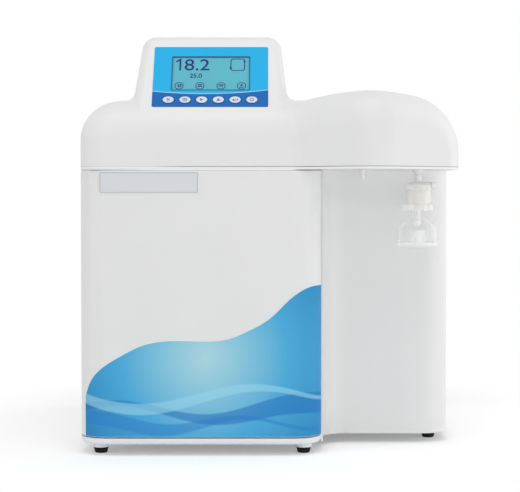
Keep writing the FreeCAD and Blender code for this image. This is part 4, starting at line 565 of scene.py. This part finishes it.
# Each symbol's lines, and its dots as a radius and a place, from the middle of its frame
SYMBOLS = (
    ([[(-2.6, 1.3), (-0.6, 1.3), (-0.6, -1.5), (2.6, -1.5)]], [(1.3, 1.7, 1.1)]),
    ([[(-2.6, -1.6), (-1.3, 0.2), (0.0, -1.2), (1.3, 0.2), (2.6, -1.6)], [(-1.9, 1.9), (1.9, 1.9)]], []),
    ([[(-2.6, 1.5), (2.6, 1.5)], [(-2.6, -0.3), (2.6, -0.3)]], []),
    ([[(-2.4, -1.9), (2.4, -1.9)]], [(1.4, 0.0, 1.1)]),
)
BORDER_CUT, BORDER_WIDTH, BORDER_RISE = 0.8, 1.5, 0.04
PANE_CLOUD = 0.02


def round_points(radius, x=0.0, y=0.0, count=24):
    """A circle's points at even steps of the angle."""
    angle = np.linspace(0, 2 * np.pi, count, endpoint=False)
    return np.column_stack([x + radius * np.cos(angle), y + radius * np.sin(angle)])


def cornered(width, height, cut):
    """A rectangle round the origin with its corners cut, as eight points."""
    w, h = width / 2, height / 2
    return np.array([(cut - w, -h), (w - cut, -h), (w, cut - h), (w, h - cut), (w - cut, h), (cut - w, h),
                     (-w, h - cut), (-w, cut - h)])


def figures(name, text, low_left, size, weight, out, material, slot):
    """Plain figures on the face as a thin solid, stretched to a width and height from their low left."""
    curve = bpy.data.curves.new(name, "FONT")
    curve.body = text
    curve.size = size[1]
    curve.offset = weight
    curve.extrude = INK_RISE
    written = bpy.data.objects.new(name + "_curve", curve)
    bpy.context.scene.collection.objects.link(written)
    bpy.context.view_layer.update()
    flat = bpy.data.meshes.new_from_object(written)
    points = np.empty(len(flat.vertices) * 3)
    flat.vertices.foreach_get("co", points)
    points = points.reshape(-1, 3)
    faces = [tuple(face.vertices) for face in flat.polygons]
    bpy.data.objects.remove(written)
    written_size = np.ptp(points, axis=0)[:2]
    points = (points - points.min(axis=0)) / (*written_size, 1.0) * (*size, 1.0) + (*low_left, out)
    return add_piece(name, on_face(points), faces, material, slot=slot, smooth=False)


pane = finish("window_clear", (235, 245, 245), rough=0.2, shine=0.2, bump=0.0)
pane.node_tree.nodes["Principled BSDF"].inputs["Alpha"].default_value = PANE_CLOUD
dress(["display_window"], pane, edge=0.1)
dress(["display_module"], finish("module_panel", (105, 185, 200), rough=0.3))
dress(["display_board"], finish("circuit_board", (30, 92, 58), rough=0.4, bump=0.1, grain=500.0))

window_low, window_high = face_box("display_window")
window_size = window_high - window_low
sheet_out = window_high[2] - SHEET_DEPTH
teal = finish("screen_teal", (94, 182, 198), rough=0.6, shine=0.05, bump=0.0)
ink = finish("screen_ink", (25, 46, 120), rough=0.6, shine=0.1)


def on_screen(across, up):
    """Across and up on the face of a place given as shares of the window from its lower left."""
    return window_low[:2] + (across, up) * window_size[:2]


corner, far_corner = on_screen(0.0, 0.0) + SHEET_EDGE, on_screen(1.0, 1.0) - SHEET_EDGE
sheet_outline = [corner, (far_corner[0], corner[1]), far_corner, (corner[0], far_corner[1])]
points, faces = prism(sheet_outline, sheet_out - SHEET_THICKNESS, sheet_out)
add_piece("screen_sheet", on_face(points), faces, teal, slot="module_panel", smooth=False)

for name, text, place, size, weight in READINGS:
    figures(name, text, on_screen(*place), size, weight, sheet_out, ink, slot="module_panel")

ink_low, ink_high = sheet_out - INK_SINK, sheet_out + INK_RISE
loop_low, loop_high = on_screen(*LOOP_LOW), on_screen(*LOOP_HIGH)
loop_middle, loop_size = (loop_low + loop_high) / 2, loop_high - loop_low
loop = cornered(*loop_size, LOOP_CUT) + loop_middle
arrow = ARROW + loop_size / (2, 4)
marks = [strip(ONE + on_screen(*ONE_PLACE), ONE_WIDTH, ink_low, ink_high),
         strip(loop, LOOP_WIDTH, ink_low, ink_high, closed=True),
         prism(loop_middle + arrow, ink_low, ink_high + ARROW_RISE),
         prism(loop_middle - arrow, ink_low, ink_high + ARROW_RISE)]
for place, (lines, dots) in zip(SYMBOL_PLACES, SYMBOLS):
    middle = on_screen(*place)
    symbol_frame = cornered(*FRAME_SIZE, FRAME_CUT) + middle
    marks.append(strip(symbol_frame, FRAME_WIDTH, ink_low, ink_high, closed=True))
    marks += [strip(line + middle, SYMBOL_WIDTH, ink_low, ink_high) for line in lines]
    marks += [prism(round_points(*dot, count=14) + middle, ink_low, ink_high) for dot in dots]
points, faces = joined(marks)
add_piece("screen_marks", on_face(points), faces, ink, slot="module_panel", smooth=False)

border_blue = finish("pane_gasket", (38, 104, 150), rough=0.4, shine=0.15)
border = cornered(*window_size[:2], BORDER_CUT) + on_screen(0.5, 0.5)
points, faces = strip(border, BORDER_WIDTH, sheet_out - SHEET_THICKNESS, BORDER_RISE, closed=True)
add_piece("pane_gasket", on_face(points), faces, border_blue, slot="foil_blue", smooth=False)

# Keys
# Six oval membrane keys with a soft satin face and a dark printed edge, each with one plain printed sign
# that moves with it. A sign is made of lines, areas or a ring round the cap's middle.
KEY_NAMES = [f"key_{number}" for number in range(1, 7)]
KEY_GREY, KEY_EDGE, KEY_TOP = (214, 215, 211), (0.88, 0.95), 0.6
SIGN_SINK, SIGN_RISE, SIGN_WIDTH = 0.3, 0.04, 0.95
KEY_SIGNS = (
    ("line", [[(-1.8, -1.8), (1.8, 1.8)], [(-1.8, 1.8), (1.8, -1.8)]]),
    ("line", [[(-2.6, 1.7), (2.6, 1.7)], [(-2.6, 0.0), (2.6, 0.0)], [(-2.6, -1.7), (2.6, -1.7)]]),
    ("area", [[(-1.8, -2.2), (2.2, 0.0), (-1.8, 2.2)]]),
    ("area", [[(-2.4, -1.7), (2.4, -1.7), (0.0, 2.2)]]),
    ("line", [[(2.7, 2.0), (2.7, -0.6), (-2.6, -0.6)], [(-0.9, 1.0), (-2.6, -0.6), (-0.9, -2.2)]]),
    ("ring", [round_points(1.9)]),
)

tops = [points[points[:, 2] > points[:, 2].max() - KEY_TOP] for points in map(along_face, KEY_NAMES)]
tops = np.array([(top.min(axis=0), top.max(axis=0)) for top in tops])
key_middles, key_halves = tops.mean(axis=1), np.ptp(tops[0], axis=0) / 2
pitch = (key_middles[-1, 0] - key_middles[0, 0]) / (len(KEY_NAMES) - 1)
key_cap = finish("key_grey", KEY_GREY, rough=0.5, grain=1800.0, bump=0.05)
x, y, z = millimetres(key_cap)
across = (((x - key_middles[0, 0]) / pitch + 0.5).calc("FRACT") - 0.5) * (pitch / key_halves[0])
upwards = (y * FACE_UP[1] + z * FACE_UP[2] - key_middles[0, 1]) / key_halves[1]
reach = (across.calc("POWER", 2.0) + upwards.calc("POWER", 2.0)).calc("SQRT")
use_colour(key_cap, blend_colours(reach.mapped(*KEY_EDGE), KEY_GREY, FOIL_DEEP))
dress(KEY_NAMES, key_cap, edge=0.4)
key_ink = finish("key_ink", (52, 104, 168), rough=0.4)
for number, (key, (kind, shapes)) in enumerate(zip(KEY_NAMES, KEY_SIGNS), start=1):
    key_low, key_high = face_box(key)
    middle = (key_low + key_high)[:2] / 2
    low, high = key_high[2] - SIGN_SINK, key_high[2] + SIGN_RISE
    solids = [prism(shape + middle, low, high) if kind == "area" else
              strip(shape + middle, SIGN_WIDTH, low, high, closed=kind == "ring") for shape in shapes]
    points, faces = joined(solids)
    add_piece(f"key_sign_{number}", on_face(points), faces, key_ink, body=key, slot="key_grey", smooth=False)

# Door
# One moulded shell with ribs behind, painted like the cover. Steel strike plates meet the magnets, and
# the door turns on two plain pins.
door_plastic = finish("door_plastic", (225, 225, 225), rough=0.42, grain=1300.0, bump=0.025)
dress(["door_shell"], door_plastic, edge=0.4)
dress(["strike_plates"], finish("plated_steel", (180, 182, 185), rough=0.3, metal=1.0, uneven=0.05))
dress(["door_magnets"], finish("magnet_black", (40, 40, 42), rough=0.5, uneven=0.15))
dress(["hinge_pin_lower", "hinge_pin_upper"],
      finish("pin_steel", (185, 186, 188), rough=0.25, metal=1.0, drawn=(1, 1, 20)), edge=0.15)

# Door film
# Self-adhesive film, pale in the middle of the wave and deep blue towards its corners. Three broad
# printed bands run along its lower part as plain water waves.
FILM_MIDDLE, FILM_REACH = (-71.8, 109.4), 175.0
FILM_TONES = (
    (0.0, (173, 214, 224)), (0.22, (139, 200, 222)), (0.52, (78, 171, 217)), (0.88, (48, 137, 193)),
)
BAND_SWELL, SWELL_PACE, SWELL_START, BAND_BLUR = 0.5, 0.5, 1.7, 2.5
# The height, swing, length and start of each band's wave, half its width, its colour and its strength
BANDS = (
    (50.0, 9.0, 210.0, 0.4, 8.5, (34, 112, 190), 0.62),
    (64.0, 12.0, 260.0, 1.9, 5.0, (158, 219, 236), 0.50),
    (36.0, 7.0, 170.0, 2.7, 6.0, (44, 128, 201), 0.55),
)

film_print = finish("film_blue", (82, 173, 217), rough=0.45, shine=0.08, grain=2500.0)
x, _, z = millimetres(film_print)
away = ((x - FILM_MIDDLE[0]).calc("POWER", 2.0) + (z - FILM_MIDDLE[1]).calc("POWER", 2.0)).calc("SQRT")
print_colour = ramp(away / FILM_REACH, FILM_TONES)
for height, swing, length, start, half, colour, strength in BANDS:
    turn = x * (2 * math.pi / length)
    middle = (turn + start).calc("SINE") * swing + height
    width = (turn * SWELL_PACE + start * SWELL_START).calc("SINE") * half * BAND_SWELL + half
    inside = (abs(z - middle) - width).mapped(0.0, -BAND_BLUR) * strength
    print_colour = blend_colours(inside, print_colour, colour)
use_colour(film_print, print_colour)
dress(["door_film"], film_print, edge=0.05)

# Name plate
# A bare anodised plate, pale grey with a thin darker border, which starts softly 1.1 mm inside the edge
# and is full 0.6 mm inside it.
PLATE_GREY, BORDER_GREY, PLATE_BORDER = (211, 215, 219), (178, 184, 190), (-1.1, -0.6)
plate_low, plate_high = box_of("name_plate")
plate_middle, plate_half = (plate_low + plate_high) / 2, (plate_high - plate_low) / 2
plate_finish = finish("plate_grey", PLATE_GREY, rough=0.4, drawn=(0.05, 1, 1), bump=0.04)
x, _, z = millimetres(plate_finish)
beside, above = abs(x - plate_middle[0]) - plate_half[0], abs(z - plate_middle[2]) - plate_half[2]
border = beside.calc("MAXIMUM", above).mapped(*PLATE_BORDER)
use_colour(plate_finish, blend_colours(border, PLATE_GREY, BORDER_GREY))
dress(["name_plate"], plate_finish, edge=0.1)

# Dispensing end
# A white fitting carries the end filter: a clear moulded capsule round a pleated membrane, with a bell
# below and a cap in its mouth. A plain tube end hangs beside it.
PLEATS, PLEAT_DEPTH, PLEAT_END, PLEAT_SHRINK = 40, 1.5, 0.4, 0.97
FACING_BLEND, FACING_RANGE, LIGHT_KEPT = 0.35, (0.35, 0.98), 0.15
RIM_HEIGHT, RIM_FADE, RIM_CLOUD = 6.8, 0.3, 0.35


def clear_plastic(name, colour, front, grazing, rough=0.12, cloudy_above=None):
    """Clear moulded plastic: nearly open where it is looked through, milky where it turns away.

    Light passes it on its way to what stands behind, except for a small share. Above a height it can be
    cloudy, as thick moulded rims are.
    """
    material = finish(name, colour, rough=rough, bump=0.0, uneven=0.01)
    tree = material.node_tree
    facing, path = tree.nodes.new("ShaderNodeLayerWeight"), tree.nodes.new("ShaderNodeLightPath")
    facing.inputs["Blend"].default_value = FACING_BLEND
    passed = Wire(tree, path.outputs["Is Shadow Ray"]).mapped(0.0, 1.0, 1.0, LIGHT_KEPT)
    density = Wire(tree, facing.outputs["Facing"]).mapped(*FACING_RANGE, front, grazing) * passed
    if cloudy_above:
        cloud = millimetres(material)[2].mapped(cloudy_above, cloudy_above + RIM_FADE, 0.0, RIM_CLOUD)
        density = (density + cloud).calc("MINIMUM", 1.0)
    tree.links.new(density.socket, tree.nodes["Principled BSDF"].inputs["Alpha"])
    return material


def pleated(inner, outer, low, high, pleats, steps=6):
    """A closed pleated tube about z.

    The radius swings from inner to outer as the triangle wave of pleats times the angle. The rings at
    both ends are a little smaller, and each end closes in a point on the axis.
    """
    angle = np.linspace(0, 2 * np.pi, pleats * steps, endpoint=False)
    wave = np.abs((angle * pleats / np.pi) % 2 - 1)
    radius = inner + (outer - inner) * wave
    heights = np.array([low, low + PLEAT_END, high - PLEAT_END, high])
    shrink = np.array([PLEAT_SHRINK, 1.0, 1.0, PLEAT_SHRINK])
    x = shrink[:, None] * radius * np.cos(angle)
    y = shrink[:, None] * radius * np.sin(angle)
    z = np.broadcast_to(heights[:, None], x.shape)
    count, rows = len(angle), len(heights)
    points = np.vstack([np.stack([x, y, z], axis=2).reshape(-1, 3), [(0, 0, low), (0, 0, high)]])
    here = np.arange(count)
    after = (here + 1) % count
    faces = []
    for row in range(rows - 1):
        faces += (np.column_stack([here, after, after + count, here + count]) + row * count).tolist()
    last = (rows - 1) * count
    faces += np.column_stack([after, here, np.full(count, rows * count)]).tolist()
    faces += np.column_stack([here + last, after + last, np.full(count, rows * count + 1)]).tolist()
    return points, faces


rim_low = box_of("capsule_bell")[1][2] - RIM_HEIGHT
capsule_clear = clear_plastic("capsule_clear", (254, 254, 254), 0.05, 0.9, cloudy_above=rim_low)
body_clear = clear_plastic("body_clear", (250, 249, 246), 0.35, 0.85)
dress(["outlet_fitting"], finish("fitting_white", (226, 225, 222), rough=0.3), edge=0.2)
dress(["capsule_cap"], clear_plastic("cap_clear", (244, 244, 243), 0.6, 0.85, rough=0.2), edge=0.2)
dress(["capsule_body"], body_clear, edge=0.2)
dress(["capsule_bell"], capsule_clear, edge=0.2)
dress(["outlet_nozzle"], clear_plastic("nozzle_clear", (254, 254, 254), 0.5, 0.7), edge=0.2)
dress(["vent_cap"], finish("vent_white", (240, 241, 243), rough=0.3), edge=0.15)
dress(["bell_dust_cap"], clear_plastic("dust_cap_white", (252, 253, 254), 0.35, 0.8, rough=0.2), edge=0.2)
dress(["stub_outlet"], finish("tube_white", (228, 226, 223), rough=0.35), edge=0.2)

membrane_low, membrane_high = box_of("filter_membrane")
middle = (membrane_low + membrane_high) / 2
outer = (membrane_high[0] - membrane_low[0]) / 2
membrane_cream = finish("membrane_cream", (248, 245, 238), rough=0.85, bump=0.2, grain=2600.0)
points, faces = pleated(outer - PLEAT_DEPTH, outer, membrane_low[2], membrane_high[2], PLEATS)
points += (middle[0], middle[1], 0.0)
pleats = add_piece("membrane_pleats", points, faces, membrane_cream, body="capsule", slot="membrane_cream",
                   smooth=False)
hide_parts("filter_membrane")

# Cartridges and manifold
# Three white polypropylene housings twist up into sockets of a dark glass-filled manifold.
cartridge_white = finish("cartridge_white", (230, 232, 234), rough=0.35, grain=700.0, bump=0.04)
dress(["cartridge_1", "cartridge_2", "cartridge_3"], cartridge_white, edge=0.5)
dress(["cartridge_manifold"], finish("manifold_plastic", (84, 88, 94), rough=0.5, bump=0.12, uneven=0.08))

# Membrane module, pumps and lamp reactor
# A white membrane housing, two dark pumps and a drawn stainless lamp chamber stand behind the partition.
pump_casing = finish("pump_casing", (70, 74, 80), rough=0.45, bump=0.1, uneven=0.08)
dress(["membrane_module"], finish("housing_white", (224, 226, 228), rough=0.35))
dress(["booster_pump"], finish("pump_body", (46, 48, 52), rough=0.45, bump=0.1, uneven=0.08))
dress(["loop_pump_casing", "loop_pump_lid"], pump_casing)
dress(["loop_pump_rotor"], finish("rotor_plastic", (206, 208, 210), rough=0.4))
dress(["lamp_reactor"], finish("reactor_steel", (200, 201, 203), rough=0.3, metal=1.0, drawn=(1, 1, 0.04)))

# Power supply and control board
# A steel case slotted on top, and a green board with a matt solder mask.
dress(["power_supply"], finish("supply_case", (196, 198, 200), rough=0.35, metal=1.0, drawn=(0.04, 1, 1)))
dress(["control_board"], finish("control_green", (28, 88, 56), rough=0.4, bump=0.12, grain=500.0))

# Valves, pipes and rear ports
# A brass valve block with three coils, a bent steel outlet pipe with its measuring cell, and white acetal
# push-in fittings through the rear panel.
dress(["valve_block"], finish("valve_brass", (188, 158, 98), rough=0.35, metal=1.0, uneven=0.08))
dress(["resistivity_cell"], finish("cell_steel", (198, 199, 201), rough=0.28, metal=1.0))
dress(["outlet_pipe"], finish("pipe_steel", (198, 199, 201), rough=0.25, metal=1.0))
dress(["feed_inlet", "tank_port", "drain_port"], finish("port_acetal", (224, 224, 220), rough=0.4), edge=0.2)

# Mains entry
# A black moulded inlet with its fuse drawer, and a red rocker with a bar and a ring as its only signs.
# Each sign lies in the middle of one of the rocker's two faces, between the fold and the far edge.
MARK_REACH, MARK_WIDTH, MARK_SINK, MARK_RISE = 1.6, 0.8, 0.2, 0.05
FOLD_NEAR, LOWER_START = 0.3, 5.0
entry_black = finish("entry_black", (26, 26, 28), rough=0.5, bump=0.06, uneven=0.15)
dress(["power_entry", "fuse_drawer"], entry_black)
dress(["power_rocker"], finish("rocker_red", (168, 30, 28), rough=0.3), edge=0.3)
sign_white = finish("rocker_sign", (236, 236, 236), rough=0.4)
rocker = node_points("power_rocker")
fold = (rocker.min(axis=0) + rocker.max(axis=0)) / 2
fold[1] = rocker[np.abs(rocker[:, 2] - fold[2]) < FOLD_NEAR][:, 1].max()
lower = rocker[rocker[:, 2] < fold[2] - LOWER_START]
upper_edge, lower_edge = (part[part[:, 1] > part[:, 1].max() - NEAR].mean(axis=0)
                          for part in (rocker, lower))
mark_right = np.array([-1.0, 0.0, 0.0])
for name, far_edge, path in (("rocker_bar", upper_edge, [(0.0, -MARK_REACH), (0.0, MARK_REACH)]),
                             ("rocker_ring", lower_edge, round_points(MARK_REACH))):
    along = (far_edge - fold) * (0.0, 1.0, 1.0)
    rise = along / np.linalg.norm(along) * np.sign(along[2])
    outwards = np.cross(mark_right, rise)
    outwards *= np.sign(outwards[1])
    points, faces = strip(path, MARK_WIDTH, -MARK_SINK, MARK_RISE, closed=name == "rocker_ring")
    add_piece(name, put(points, fold + along / 2, mark_right, rise, outwards), faces, sign_white,
              body="power_rocker", slot="rocker_red", smooth=False)
